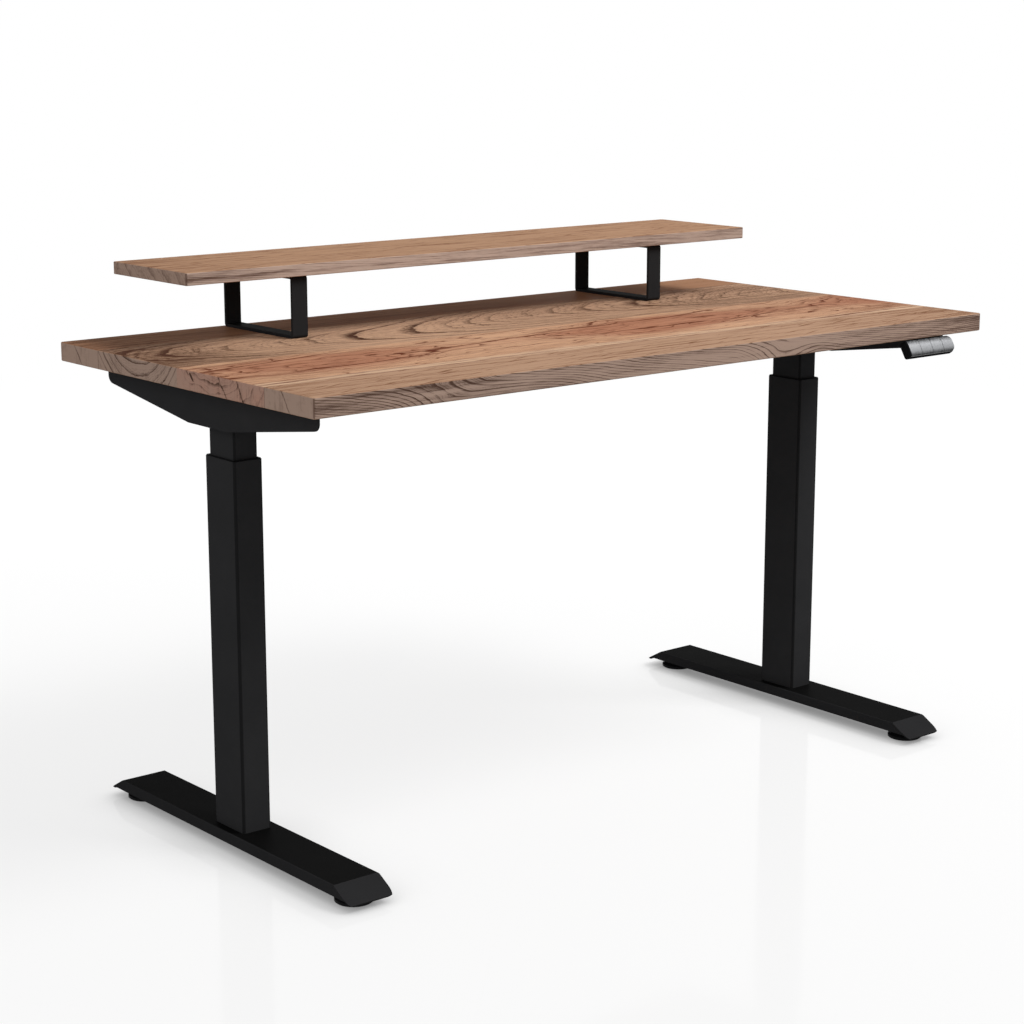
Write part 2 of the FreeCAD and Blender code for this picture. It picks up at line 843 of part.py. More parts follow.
def desktop():
    """The working surface, with pilot holes for every screw that enters it."""
    extent = (size.desk_width, size.desk_depth)
    board = wood_board("DesktopBoard", extent, 0, (under, desk_top), size.desk_corner, size.desk_ease)
    pilot = size.screw_radius + size.thread_gap
    holes = [rod("Z", pilot, (under, under + size.screw_depth), place) for place in desktop_screw_places()]
    riser_pilot = size.riser_screw_radius + size.thread_gap
    riser_span = (desk_top - size.riser_screw_depth, desk_top)
    holes += [rod("Z", riser_pilot, riser_span, place) for place in riser_screw_places()]
    return cut(board, *holes)


def desktop_screws():
    """The screws that hold brackets, control box and handset to the desktop."""
    head_top = under - size.bracket_wall
    screws = []
    for place in desktop_screw_places():
        head = rod("Z", size.screw_head_radius, (head_top - size.screw_head, head_top), place)
        shank = rod("Z", size.screw_radius, (head_top, under + size.screw_depth), place)
        screws.append(fuse(head, shank))
    return group(screws)


def riser_shelf():
    """The monitor shelf, with pilot holes for the strap screws."""
    extent = (size.shelf_length, size.shelf_depth)
    span = (shelf_bottom, shelf_bottom + size.shelf_thick)
    board = wood_board("ShelfBoard", extent, shelf_middle, span, size.shelf_corner, size.shelf_ease)
    pilot = size.riser_screw_radius + size.thread_gap
    pilot_span = (shelf_bottom, shelf_bottom + size.riser_screw_depth)
    return cut(board, *[rod("Z", pilot, pilot_span, place) for place in riser_screw_places()])


def riser_bracket(sign):
    """A closed loop of flat bar between desktop and shelf."""
    body = new_body("RiserLoop")
    start = riser_spacing * sign / 2 - size.strap_width / 2
    depth = size.shelf_depth - size.riser_inset * 2
    middle = (shelf_middle, desk_top + size.riser_height / 2)
    sketch = sketch_in(body, "YZ_Plane", start)
    loop = (depth, size.riser_height, size.strap_bend + size.strap_thick)
    rounded_rectangle(sketch, *loop, middle)
    rounded_rectangle(sketch, *grown(loop, -size.strap_thick), middle)
    pad(body, sketch, size.strap_width)
    hole = size.riser_screw_radius + size.thread_gap
    sunk = size.riser_screw_head_radius + size.thread_gap
    tools = []
    for place in [spot for spot in riser_screw_places() if spot[0].value * sign > 0]:
        tools.append(rod("Z", hole, (desk_top, shelf_bottom), place))
        low = desk_top + size.strap_thick
        high = shelf_bottom - size.strap_thick
        tools.append(rod("Z", sunk, (low - size.riser_screw_head, high + size.riser_screw_head), place))
    return cut(body, *tools)


def riser_screws():
    """The sunk screws that hold the loops to desktop and shelf."""
    screws = []
    low = desk_top + size.strap_thick
    high = shelf_bottom - size.strap_thick
    for place in riser_screw_places():
        low_neck = low - size.riser_screw_head
        head = rod("Z", size.riser_screw_head_radius, (low_neck, low), place)
        shank = rod("Z", size.riser_screw_radius, (desk_top - size.riser_screw_depth, low_neck), place)
        screws.append(fuse(head, shank))
        high_neck = high + size.riser_screw_head
        head = rod("Z", size.riser_screw_head_radius, (high, high_neck), place)
        shank = rod("Z", size.riser_screw_radius, (high_neck, shelf_bottom + size.riser_screw_depth), place)
        screws.append(fuse(head, shank))
    return group(screws)


def cross_rail(sign):
    """A rectangular rail outside the cheeks of both column heads."""
    near_y = size.head_length / 2
    stations = span_to(sign, near_y, near_y + size.rail_depth)
    reach = column_spacing / 2 + size.rail_overlap
    low = under - size.rail_drop - size.rail_height
    high = under - size.rail_drop
    wall = size.rail_wall
    rail = block((-reach, reach), stations, (low, high))
    room = block((-reach, reach), (stations[0] + wall, stations[1] - wall), (low + wall, high - wall))
    hole = size.rail_bolt_radius + size.thread_gap
    face = span_to(sign, near_y, near_y + wall)
    holes = [rod("Y", hole, face, (x, rail_middle_z)) for x in rail_bolt_world_x()]
    return cut(rail, room, *holes)


def rail_bolt_world_x():
    """The rail bolts' stations along the desk."""
    half = column_spacing / 2
    return [(half + x) * sign for sign in (-1, 1) for x in rail_bolt_stations()]


def rail_bolts():
    """The bolts from inside the column heads into the rails."""
    cheek = size.head_length / 2 - size.head_wall
    bolts = []
    for sign in (-1, 1):
        head_span = span_to(sign, cheek - size.rail_bolt_head, cheek)
        shank_span = span_to(sign, cheek, cheek + size.rail_bolt_length)
        for x in rail_bolt_world_x():
            head = rod("Y", size.rail_bolt_head_radius, head_span, (x, rail_middle_z))
            shank = rod("Y", size.rail_bolt_radius, shank_span, (x, rail_middle_z))
            bolts.append(fuse(head, shank))
    return group(bolts)


def control_extent():
    """Half the length and half the depth of the control box, which stands between the rails."""
    return size.control_length / 2, size.head_length / 2 - size.control_side_gap


def control_box():
    """The shell of the control box, open below, with a tab at each end."""
    half_x, half_y = control_extent()
    low, wall = under - size.control_height, size.control_wall
    shell = block((-half_x, half_x), (-half_y, half_y), (low, under))
    room = block((-half_x + wall, half_x - wall), (-half_y + wall, half_y - wall), (low, under - wall))
    tab_y = size.control_tab_spread / 2 + size.control_tab_depth / 2
    tab_z = (under - size.bracket_wall, under)
    tab_end = half_x + size.control_tab
    tabs = [block(x_span, (-tab_y, tab_y), tab_z) for x_span in ((-tab_end, -half_x), (half_x, tab_end))]
    hole = size.screw_radius + size.thread_gap
    holes = [rod("Z", hole, tab_z, place) for place in control_tab_places()]
    return cut(fuse(shell, *tabs), room, *holes)


def control_lid():
    """The bottom of the control box, with two rows of vent slots."""
    half_x, half_y = control_extent()
    low = under - size.control_height
    z_span = (low - size.control_lid, low)
    slots = []
    for sign in (-1, 1):
        y_span = span_to(sign, size.vent_rim, half_y - size.vent_rim)
        for step in VENTS_IN_A_ROW:
            x = size.vent_pitch * step
            slots.append(block((x - size.vent_width / 2, x + size.vent_width / 2), y_span, z_span))
    return cut(block((-half_x, half_x), (-half_y, half_y), z_span), *slots)


def control_sockets():
    """Mains inlet, two motor sockets and the handset's socket on the back of the control box."""
    face = control_extent()[1]
    middle = under - size.control_height / 2
    z_span = (middle - size.socket_height / 2, middle + size.socket_height / 2)
    sockets = []
    for step in FOUR_IN_A_ROW:
        x = size.socket_pitch * step
        x_span = (x - size.socket_width / 2, x + size.socket_width / 2)
        sockets.append(block(x_span, (face, face + size.socket_depth), z_span))
    return group(sockets)


# The handset is built in its own frame: X along the bar, Y up the key face, Z out of it.
handset_x = size.desk_width / 2 - size.handset_edge_gap
key_pitch = size.key_length + size.key_gap
handset_half = key_pitch * 2
housing_front = -size.housing_setback


def tilt(thing):
    """Turn a handset piece to its slope and hang it under the desktop's front edge."""
    thing.Placement = Placement(Vector(), Rotation(Vector(1, 0, 0), size.handset_tilt.value))
    bind(thing, "Placement.Rotation.Angle", size.handset_tilt)
    put(thing, handset_x, desk_front - size.handset_reach, under - size.handset_drop)
    return thing


def rounded_end(reach, low, high):
    """A slab over the whole handset, with its two right-hand corners round."""
    body = new_body("HandsetEnd")
    sketch = sketch_in(body, "XY_Plane", -size.housing_back)
    middle = (-as_size(reach) / 2, (as_size(high) - low) / 2)
    rounded_rectangle(sketch, reach * 3, high + low, size.handset_corner, middle)
    pad(body, sketch, size.housing_back + size.key_crown)
    return body


def housing_profile(span):
    """The back of the handset over a length: a slab with soft edges and a round right end."""
    body = new_body("HandsetSlab")
    sketch = sketch_in(body, "YZ_Plane", span[0])
    middle = ((size.housing_high - size.housing_low) / 2, (housing_front - size.housing_back) / 2)
    thick = size.housing_back + housing_front
    rounded_rectangle(sketch, size.housing_high + size.housing_low, thick, size.housing_bend, middle)
    pad(body, sketch, as_size(span[1]) - span[0])
    return common(body, rounded_end(handset_half + size.cap_thick, size.housing_low, size.housing_high))


def key_profile(span, back):
    """The crowned face of the keys over a length."""
    bar = rod("X", size.key_face_radius, span, (0, size.key_crown - size.key_face_radius))
    keep = block(span, (-size.key_half_height, size.key_half_height), (back, size.key_crown))
    return common(bar, keep)


def handset_housing():
    """The back of the handset, hollow from end to end, with its plate under the desktop."""
    span = (-handset_half, handset_half)
    hollow = block(
        span,
        (-size.housing_hollow_half, size.housing_hollow_half),
        (-size.housing_hollow_back, -size.housing_hollow_front),
    )
    stem_hole = size.key_stem_radius + size.stem_room
    stem_span = (-size.housing_hollow_front, housing_front)
    stems = [rod("Z", stem_hole, stem_span, (key_pitch * step, 0)) for step in FOUR_IN_A_ROW]
    x_span = (handset_x - size.handset_plate_half, handset_x + size.handset_plate_half)
    front = desk_front + size.handset_plate_front
    plate = block(x_span, (front, desk_front + size.handset_plate_back), (under - size.bracket_wall, under))
    web = block(x_span, (front, front + size.handset_web_thick), (under - size.handset_web_drop, under))
    hole = size.screw_radius + size.thread_gap
    holes = [rod("Z", hole, (under - size.bracket_wall, under), place) for place in handset_screw_places()]
    solid = fuse(tilt(housing_profile(span)), plate, web)
    return cut(solid, tilt(fuse(hollow, *stems)), *holes)


def handset_cap(sign):
    """An end cap: the left one covers the end of the keys, the right one stays behind them."""
    stations = span_to(sign, handset_half, handset_half + size.cap_thick)
    cap = housing_profile(stations)
    return tilt(cap if sign > 0 else fuse(cap, key_profile(stations, housing_front)))


def handset_board():
    """The circuit board with a push switch under each key."""
    front = -size.board_back + size.board_thick
    board = block(
        (-handset_half, handset_half),
        (-size.housing_hollow_half, size.housing_hollow_half),
        (-size.board_back, front),
    )
    half = size.switch_size / 2
    switches = [
        block((key_pitch * step - half, key_pitch * step + half), (-half, half), (front, -size.switch_top))
        for step in FOUR_IN_A_ROW
    ]
    return tilt(fuse(board, *switches))


def handset_key(step):
    """One crowned key with the stem that reaches its switch."""
    middle = key_pitch * step
    face = key_profile((middle - size.key_length / 2, middle + size.key_length / 2), size.key_back)
    row_end = key_pitch * FOUR_IN_A_ROW[-1] + size.key_length / 2
    face = common(face, rounded_end(row_end, size.key_half_height, size.key_half_height))
    stem = rod("Z", size.key_stem_radius, (-size.key_stem_tip, size.key_back), (middle, 0))
    return tilt(fuse(face, stem))


COLUMN_PIECES = (
    foot, foot_bolts, outer_column, base_plate, nut_tube, drive_nut, guide_collar, side_bracket, column_head,
    inner_column, slide_shoe, gear_housing, gear_cover, motor, bearing, spindle, worm_wheel, worm,
)
for side_name in SIDES:
    for piece in COLUMN_PIECES:
        node(piece(side_name), f"{piece.__name__}_{side_name}")
    for front_name, is_front in (("front", True), ("back", False)):
        node(leveller(is_front, side_name), f"leveller_{front_name}_{side_name}")
    node(riser_bracket(SIDES[side_name]), f"riser_bracket_{side_name}")
    node(handset_cap(SIDES[side_name]), f"handset_cap_{side_name}")
for piece in (
    desktop, desktop_screws, riser_shelf, riser_screws, rail_bolts, control_box, control_lid, control_sockets,
    handset_housing, handset_board,
):
    node(piece(), piece.__name__)
for rail_name, rail_sign in (("cross_rail_front", -1), ("cross_rail_rear", 1)):
    node(cross_rail(rail_sign), rail_name)
for key_name, key_step in zip(("up", "down", "memory_a", "memory_b"), FOUR_IN_A_ROW):
    node(handset_key(key_step), f"handset_key_{key_name}")

doc.recompute()
for thing in doc.Objects:
    if {"Invalid", "Error"} & set(thing.State):
        raise RuntimeError(f"{thing.Name} ({thing.Label}) failed: {thing.State}")
os.makedirs("parts", exist_ok=True)
for thing in nodes:
    if thing.Shape.isNull() or not thing.Shape.isValid():
        raise RuntimeError(f"{thing.Label} has no valid shape")
for thing in nodes:
    thing.Shape.exportStep(f"parts/{thing.Label}.step")
print(len(nodes), "pieces")
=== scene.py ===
"""Looks of a height-adjustable desk with a monitor shelf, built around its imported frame."""

import math
from typing import NamedTuple

import bmesh
import bpy
from bpy.props import FloatProperty, FloatVectorProperty, PointerProperty
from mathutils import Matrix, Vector


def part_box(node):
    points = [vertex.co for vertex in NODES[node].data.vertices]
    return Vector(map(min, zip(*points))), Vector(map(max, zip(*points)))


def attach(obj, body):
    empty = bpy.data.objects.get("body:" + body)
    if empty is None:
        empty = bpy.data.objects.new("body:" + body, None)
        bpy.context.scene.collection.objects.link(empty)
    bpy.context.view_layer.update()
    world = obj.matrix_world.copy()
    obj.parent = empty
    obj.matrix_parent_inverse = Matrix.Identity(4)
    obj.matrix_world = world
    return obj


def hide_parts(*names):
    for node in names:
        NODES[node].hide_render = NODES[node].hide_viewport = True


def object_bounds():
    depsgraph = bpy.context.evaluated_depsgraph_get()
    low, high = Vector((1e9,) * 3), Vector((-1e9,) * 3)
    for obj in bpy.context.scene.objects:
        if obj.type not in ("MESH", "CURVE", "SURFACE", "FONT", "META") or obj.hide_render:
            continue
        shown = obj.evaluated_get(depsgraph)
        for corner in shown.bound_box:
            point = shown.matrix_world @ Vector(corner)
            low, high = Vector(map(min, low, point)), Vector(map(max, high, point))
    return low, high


bl_info = {
    "name": "Height-adjustable desk",
    "version": (1, 0, 0),
    "blender": (4, 5, 0),
    "location": "View3D > Sidebar > Desk",
    "description": "Finishes a height-adjustable desk with a monitor shelf and sets its studio",
    "category": "Object",
}

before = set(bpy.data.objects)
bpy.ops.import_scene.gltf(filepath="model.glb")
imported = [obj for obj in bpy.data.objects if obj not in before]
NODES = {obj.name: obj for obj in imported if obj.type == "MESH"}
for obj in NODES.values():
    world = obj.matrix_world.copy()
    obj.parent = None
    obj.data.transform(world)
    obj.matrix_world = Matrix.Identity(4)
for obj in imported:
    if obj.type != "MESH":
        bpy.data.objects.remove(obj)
CAD_BOX = [list(corner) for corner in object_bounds()]

SIDES = ("left", "right")
MM = 0.001
IN_MM = 1000.0


def srgb(red, green, blue):
    """A screen colour of 0 to 255 as the linear values that Blender's colour properties hold."""
    shares = (channel / 255 for channel in (red, green, blue))
    return tuple(s / 12.92 if s <= 0.04045 else ((s + 0.055) / 1.055) ** 2.4 for s in shares)


def colour(name, description, red, green, blue):
    """A colour property with its default."""
    return FloatVectorProperty(
        name=name, description=description, subtype="COLOR", size=3, min=0, max=1,
        default=srgb(red, green, blue),
    )


def length(name, description, millimetres):
    """A length property with its default."""
    return FloatProperty(
        name=name, description=description, subtype="DISTANCE", unit="LENGTH",
        default=millimetres * MM,
    )


# Settings

class DeskWood(bpy.types.PropertyGroup):
    """Colours and grain of the edge-glued boards."""

    front_light: colour("Front board", "Pale wood of the front board", 176, 141, 115)
    front_dark: colour("Front board grain", "Late wood of the front board", 116, 78, 55)
    heart_light: colour("Heart board", "Pale wood of the second board", 200, 157, 125)
    heart_red: colour("Heart wood", "Reddish wood round the second board's pith", 174, 122, 95)
    heart_dark: colour("Heart board grain", "Late wood of the second board", 96, 50, 34)
    sapwood: colour("Sapwood", "Cream edge of the second board", 199, 165, 137)
    arch_light: colour("Arched board", "Pale wood of the third board", 193, 155, 126)
    arch_dark: colour("Arched board grain", "Late wood of the third board", 74, 46, 33)
    rear_light: colour("Rear board", "Pale wood of the rear board", 162, 120, 91)
    rear_dark: colour("Rear board grain", "Late wood of the rear board", 96, 64, 48)
    end_red: colour("Heart end", "Reddish end grain of the second board", 178, 138, 121)
    edge_light: colour("Edge", "Pale wood on the desktop's edges", 168, 143, 128)
    edge_dark: colour("Edge grain", "Late wood on the desktop's edges", 82, 62, 53)
    shelf_light: colour("Shelf", "Pale wood of the monitor shelf", 173, 135, 106)
    shelf_dark: colour("Shelf grain", "Late wood of the monitor shelf", 112, 74, 53)
    shelf_edge_light: colour("Shelf edge", "Pale wood on the shelf's edges", 190, 167, 153)
    shelf_edge_dark: colour("Shelf edge grain", "Late wood on the shelf's edges", 98, 76, 66)
    board_width: length("Board width", "Width of the two middle boards", 230)


class DeskMetal(bpy.types.PropertyGroup):
    """Colours of coated, bare and moulded pieces."""

    coat: colour("Powder coat", "Black coat of the columns, brackets and rails", 47, 47, 48)
    # A darker copy of the black coat: painted shade on the feet and the shelf's straps
    foot_coat_painted_shade: colour("Foot coat", "Black coat of the feet and the shelf's straps", 41, 41, 42)
    # Painted shade: the darker tone that the foot coat takes on its upward faces
    foot_top_painted_shade: colour("Foot top", "The same coat where it faces up", 14, 14, 14)
    plastic: colour("Black plastic", "Moulded black pieces", 24, 24, 25)
    keys: colour("Keys", "Brushed face of the handset keys", 132, 133, 135)
    steel: colour("Steel", "Zinc-plated and turned steel", 178, 179, 181)
    bronze: colour("Bronze", "Turned bronze", 190, 146, 88)
    alloy: colour("Cast alloy", "As-cast gear housings", 168, 170, 173)
    board: colour("Circuit board", "Solder resist of the handset's board", 30, 92, 56)


class DeskStudio(bpy.types.PropertyGroup):
    """Camera, floor and light."""

    eye: FloatVectorProperty(
        name="Eye", description="Place of the camera", subtype="XYZ", unit="LENGTH", size=3,
        default=(-2.42249, -2.85077, 1.26481),
    )
    yaw: FloatProperty(
        name="Yaw", description="Turn of the view from straight ahead to the right",
        subtype="ANGLE", default=0.691258,
    )
    pitch: FloatProperty(
        name="Pitch", description="Downward tilt of the view", subtype="ANGLE", default=0.215353,
    )
    lens: FloatProperty(name="Lens", description="Focal length in millimetres", default=80.012)
    floor: colour("Floor", "Studio floor where it is seen", 124, 124, 124)
    floor_bounce: colour("Floor bounce", "Studio floor as it lights the desk", 178, 178, 178)
    glow: FloatProperty(
        name="Floor glow", description="White that the seen floor adds", default=0.73,
    )
    dome: FloatProperty(
        name="Dome", description="Strength of the even light all round", default=0.36,
    )
    key: FloatProperty(
        name="Key", description="Power of the large lamp in watts", default=440,
    )
    fill: FloatProperty(
        name="Fill", description="Power of the lamp at the left in watts", default=60,
    )
    back: FloatProperty(
        name="Back", description="Power of the lamp behind in watts", default=40,
    )


# Node trees

class Wire:
    """A socket whose values take part in Python arithmetic; each operation adds a Math node."""

    def __init__(self, finish, socket):
        self.finish = finish
        self.socket = socket

    def maths(self, operation, *terms):
        return self.finish.node("ShaderNodeMath", {"operation": operation}, dict(enumerate(terms)))

    def __add__(self, other):
        return self.maths("ADD", self, other)

    def __radd__(self, other):
        return self.maths("ADD", other, self)

    def __sub__(self, other):
        return self.maths("SUBTRACT", self, other)

    def __rsub__(self, other):
        return self.maths("SUBTRACT", other, self)

    def __mul__(self, other):
        return self.maths("MULTIPLY", self, other)

    def __rmul__(self, other):
        return self.maths("MULTIPLY", other, self)

    def __truediv__(self, other):
        return self.maths("DIVIDE", self, other)

    def __rtruediv__(self, other):
        return self.maths("DIVIDE", other, self)

    def __gt__(self, other):
        return self.maths("GREATER_THAN", self, other)

    def __lt__(self, other):
        return self.maths("LESS_THAN", self, other)

    def __abs__(self):
        return self.maths("ABSOLUTE", self)

    def floor(self):
        return self.maths("FLOOR", self)

    def root(self):
        return self.maths("SQRT", self)

    def sine(self):
        return self.maths("SINE", self)

    def cosine(self):
        return self.maths("COSINE", self)

    def most(self, other):
        """The larger of two values."""
        return self.maths("MAXIMUM", self, other)

    def rise(self, low, high):
        """0 below low, 1 above high and a smooth step between them."""
        return self.finish.node(
            "ShaderNodeMapRange", {"interpolation_type": "SMOOTHSTEP"},
            {"Value": self, "From Min": low, "From Max": high},
        )


class Finish:
    """A node tree of a material or world, with one method that adds any node to it."""

    def __init__(self, name, world=False):
        self.owner = (bpy.data.worlds if world else bpy.data.materials).new(name)
        self.owner.use_nodes = True
        self.tree = self.owner.node_tree
        self.tree.nodes.clear()

    def node(self, kind, settings=None, sockets=None, out=0):
        """Adds a node: its settings first, then the values or links of its sockets."""
        made = self.tree.nodes.new(kind)
        for key, value in (settings or {}).items():
            setattr(made, key, value)
        for key, value in (sockets or {}).items():
            self.feed(made.inputs[key], value)
        return Wire(self, made.outputs[out]) if len(made.outputs) else made

    def feed(self, socket, value):
        """Links a wire to a socket, or sets the socket's own value."""
        if isinstance(value, Wire):
            self.tree.links.new(value.socket, socket)
        elif socket.type == "RGBA" and len(value) == 3:
            socket.default_value = (*value, 1)
        else:
            socket.default_value = value

    def place(self, scale=IN_MM):
        """The three places of a surface point in the part's frame, in millimetres as a rule."""
        spot = self.node("ShaderNodeTexCoord", out="Object")
        grown = self.node("ShaderNodeVectorMath", {"operation": "SCALE"}, {0: spot, "Scale": scale})
        return self.split(grown)

    def split(self, vector):
        """The three values of a vector."""
        made = self.node("ShaderNodeSeparateXYZ", sockets={0: vector})
        return tuple(Wire(self, socket) for socket in made.socket.node.outputs)

    def facing(self):
        """The three values of the face's own direction, before any bump."""
        normal = self.node("ShaderNodeNewGeometry", out="True Normal")
        turned = self.node(
            "ShaderNodeVectorTransform",
            {"vector_type": "NORMAL", "convert_from": "WORLD", "convert_to": "OBJECT"},
            {0: normal},
        )
        return self.split(turned)

    def noise(self, spot, detail=2.0, roughness=0.5):
        """Smooth noise about 0, from a spot of three values."""
        vector = self.node("ShaderNodeCombineXYZ", sockets=dict(enumerate(spot)))
        wave = self.node(
            "ShaderNodeTexNoise", None,
            {"Vector": vector, "Scale": 1.0, "Detail": detail, "Roughness": roughness},
        )
        return wave - 0.5

    def grit(self, spot, sizes, detail=2.0, roughness=0.5):
        """Noise with a size of its own along each of the three axes."""
        return self.noise([axis / size for axis, size in zip(spot, sizes)], detail, roughness)

    def chance(self, number):
        """A random value from 0 to 1 for each whole number."""
        return self.node("ShaderNodeTexWhiteNoise", {"noise_dimensions": "1D"}, {"W": number})

    def mix(self, share, first, second):
        """Two colours mixed by a share."""
        first_colour, second_colour = 6, 7
        result = 2
        return self.node(
            "ShaderNodeMix", {"data_type": "RGBA", "clamp_factor": True},
            {0: share, first_colour: first, second_colour: second}, out=result,
        )

    def bump(self, height, strength, distance):
        """A normal from a height."""
        return self.node(
            "ShaderNodeBump", None,
            {"Height": height, "Strength": strength, "Distance": distance * MM},
        )

    def surface(self, **sockets):
        """Ends the tree with one shader whose sockets are given with underscores for spaces."""
        named = {key.replace("_", " "): value for key, value in sockets.items()}
        shader = self.node("ShaderNodeBsdfPrincipled", None, named)
        self.node("ShaderNodeOutputMaterial", None, {"Surface": shader})
        return self.owner


def blend(first, second, share):
    """A value between two others."""
    return first + share * (second - first)


def swell(place, middle, reach):
    """1 at a middle and 0 beyond its reach on either side."""
    return 1 - abs(place - middle).rise(0, reach)


def tinted(shade, factor):
    """A shade made lighter or darker."""
    return [min(1, channel * factor) for channel in shade]


def dress(node, material):
    """Gives a CAD node its one material."""
    slots = NODES[node].data.materials
    slots.clear()
    slots.append(material)


# Wood

class Layer(NamedTuple):
    """A layer of noise in the wood: the length and width of its waves in millimetres first."""

    length: float
    width: float
    shift: float
    detail: float = 2.0
    roughness: float = 0.5
    slope: float = 0.0


class Vein(NamedTuple):
    """A dark streak: its stretch along the grain, its place across it, its slope and its bends."""

    start: float
    stop: float
    place: float
    slope: float
    bend: float


# Layers that both kinds of board have
SLOW = Layer(300, 80, shift=3.1)
BROAD = Layer(140, 34, shift=8.7)
FINE = Layer(46, 9, shift=1.3)
STREAK = Layer(190, 9, shift=7.4, detail=3.0, roughness=0.65)
DASH = Layer(70, 7, shift=19.4, slope=0.3)
FIBRE = Layer(30, 2.2, shift=2.2, detail=3.0, roughness=0.65)
PORES = Layer(14, 0.8, shift=9.9, detail=1.0)

# Layers of the desktop or of the shelf alone
DESKTOP_FADE = Layer(110, 26, shift=5.5)
SHELF_FADE = Layer(90, 24, shift=5.5)
WANDER = Layer(210, 54, shift=23.8)
RIPPLE = Layer(60, 16, shift=12.9)
SQUIGGLE = Layer(170, 52, shift=11.6)
SQUIGGLE_PATCH = Layer(160, 50, shift=17.2)

# Dark streaks in the heart board, and lines on the desktop's end grain as place and slope
VEINS = (
    Vein(0, 270, place=-65, slope=0.17, bend=14),
    Vein(640, 1000, place=-52, slope=0.03, bend=22),
    Vein(930, 1080, place=-48, slope=0.22, bend=10),
    Vein(120, 400, place=-142, slope=0.05, bend=30),
    Vein(390, 660, place=-88, slope=0.08, bend=34),
    Vein(720, 960, place=-128, slope=0.05, bend=30),
    Vein(1010, 1270, place=-124, slope=0.12, bend=34),
)
END_LINES = ((303, -0.8), (-112, -0.75), (-160, -0.5), (-271, -0.7))

# Weights on the front, heart, arched and rear board
INNER_WEIGHTS = (0.16, 0.25, 0.55, 0.2)
STREAK_WEIGHTS = (3.0, 1.6, 1.3, 2.4)
DASH_WEIGHTS = (0.8, 0.3, 0.1, 0.2)

# Shares of a growth ring between which its late wood darkens, and where the next ring begins
LATE_WOOD = (0.62, 0.93)
INNER_LATE_WOOD = (0.5, 0.9)
HAIR_LATE_WOOD = (0.3, 0.8)
NEXT_RING = (0.95, 1.0)

# Finer lines within one growth ring
INNER_LINES = 4
HAIR_LINES = 13

# How far a face has turned where it becomes an edge, and the depth in which a line slants
FACE_TURN = (0.4, 0.8)
SLANT_DEPTH = 30

WOOD_GLOSS = 0.003


class Grain:
    """Places, faces and figure of one board or row of boards, in millimetres."""

    def __init__(self, finish, node, seed):
        self.finish = finish
        self.seed = seed
        low, high = (corner * IN_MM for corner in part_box(node))
        x, y, z = finish.place()
        self.along = x - low.x
        self.across = y
        self.behind = y - low.y
        self.depth = high.z - z
        face_x, _, face_z = finish.facing()
        self.side = 1 - abs(face_z).rise(*FACE_TURN)
        self.end = abs(face_x).rise(*FACE_TURN)
        self.slow = self.waves(SLOW)
        self.broad = self.waves(BROAD)
        self.fine = self.waves(FINE)
        self.streak = self.waves(STREAK)
        self.dash = self.waves(DASH).rise(0.1, 0.2)
        self.fibre = self.waves(FIBRE)
        self.pores = self.waves(PORES).rise(0.15, 0.26)

    def waves(self, layer):
        """Noise drawn out along the grain, or at a slope to it."""
        aside = self.across - layer.slope * self.along
        spot = (
            self.along / layer.length + layer.shift + self.seed,
            aside / layer.width,
            self.depth / layer.width,
        )
        return self.finish.noise(spot, layer.detail, layer.roughness)

    def bends(self, **sizes):
        """How far a line strays: the named layers added up, each at its size."""
        return sum(getattr(self, layer) * size for layer, size in sizes.items())


class Boards:
    """Which of the desktop's four boards a spot is on."""

    def __init__(self, finish, grain, width):
        self.finish = finish
        self.width = width
        self.in_heart = grain.across > -width
        self.in_arch = grain.across > 0.0
        self.in_rear = grain.across > width
        self.only_heart = self.in_heart * (1 - self.in_arch)
        self.only_arch = self.in_arch * (1 - self.in_rear)

    def pick(self, front, heart, arch, rear):
        """The value of the board that the spot is on."""
        chosen = blend(front, heart, self.in_heart)
        chosen = blend(chosen, arch, self.in_arch)
        return blend(chosen, rear, self.in_rear)

    def pick_colour(self, front, heart, arch, rear):
        """The colour of the board that the spot is on."""
        chosen = self.finish.mix(self.in_heart, front, heart)
        chosen = self.finish.mix(self.in_arch, chosen, arch)
        return self.finish.mix(self.in_rear, chosen, rear)


def ring_lines(finish, number, seed, late_wood=LATE_WOOD):
    """The dark line that closes each growth ring, with a strength of the ring's own."""
    whole = number.floor()
    share = number - whole
    strength = finish.chance(whole + seed)
    line = share.rise(*late_wood) * (1 - share.rise(*NEXT_RING))
    return line * (0.3 + 0.7 * strength)


def slanted_rings(grain, reach, lean, spacing, bends):
    """Ring numbers of straight grain: lines that slant by a reach as they go down an edge."""
    run = grain.along - reach * grain.depth / SLANT_DEPTH - grain.behind / lean + bends
    return run / spacing


def arched_rings(grain):
    """Ring numbers of a flat-sawn board, whose arches point to the left, and their width."""
    first, turn = 454, 525
    axis = 102 + 18 * (grain.along * (math.tau / 900)).cosine() + grain.broad * 22
    aside = grain.across - axis
    bow = (0.0151 + 0.0129 * (aside < 0.0)) * aside * aside
    run = (grain.along - bow - 4 * grain.depth + grain.bends(slow=60, fine=10) - first) / turn
    swing = (run * math.tau).sine()
    number = 8 * run - 0.6 * swing + 0.56
    wide = 0.5 + 0.5 * (run * math.tau).cosine()
    return number, wide


def cupped_rings(grain):
    """Ring numbers on the end of a flat-sawn board: cups that hang below its top."""
    middle, drop, spacing = 114, 10, 17
    aside = grain.across - middle
    return (grain.depth + 0.0058 * aside * aside + grain.bends(broad=9, fine=2) - drop) / spacing


def heart_level(grain):
    """Height over a heart board: two long ovals round the pith with a saddle between them."""
    first, turn = 200, 655
    middle, half_width = -92, 78
    aside = (grain.across - middle) / half_width
    hump = ((grain.along - first) * (math.tau / turn)).cosine()
    tilt = 0.35 * grain.along.rise(700, 1150)
    bends = grain.waves(WANDER) * 1.3 + grain.bends(slow=0.7, fine=0.09)
    return 0.5 * hump - 0.8 * aside * aside - grain.depth * 0.03 + tilt + bends


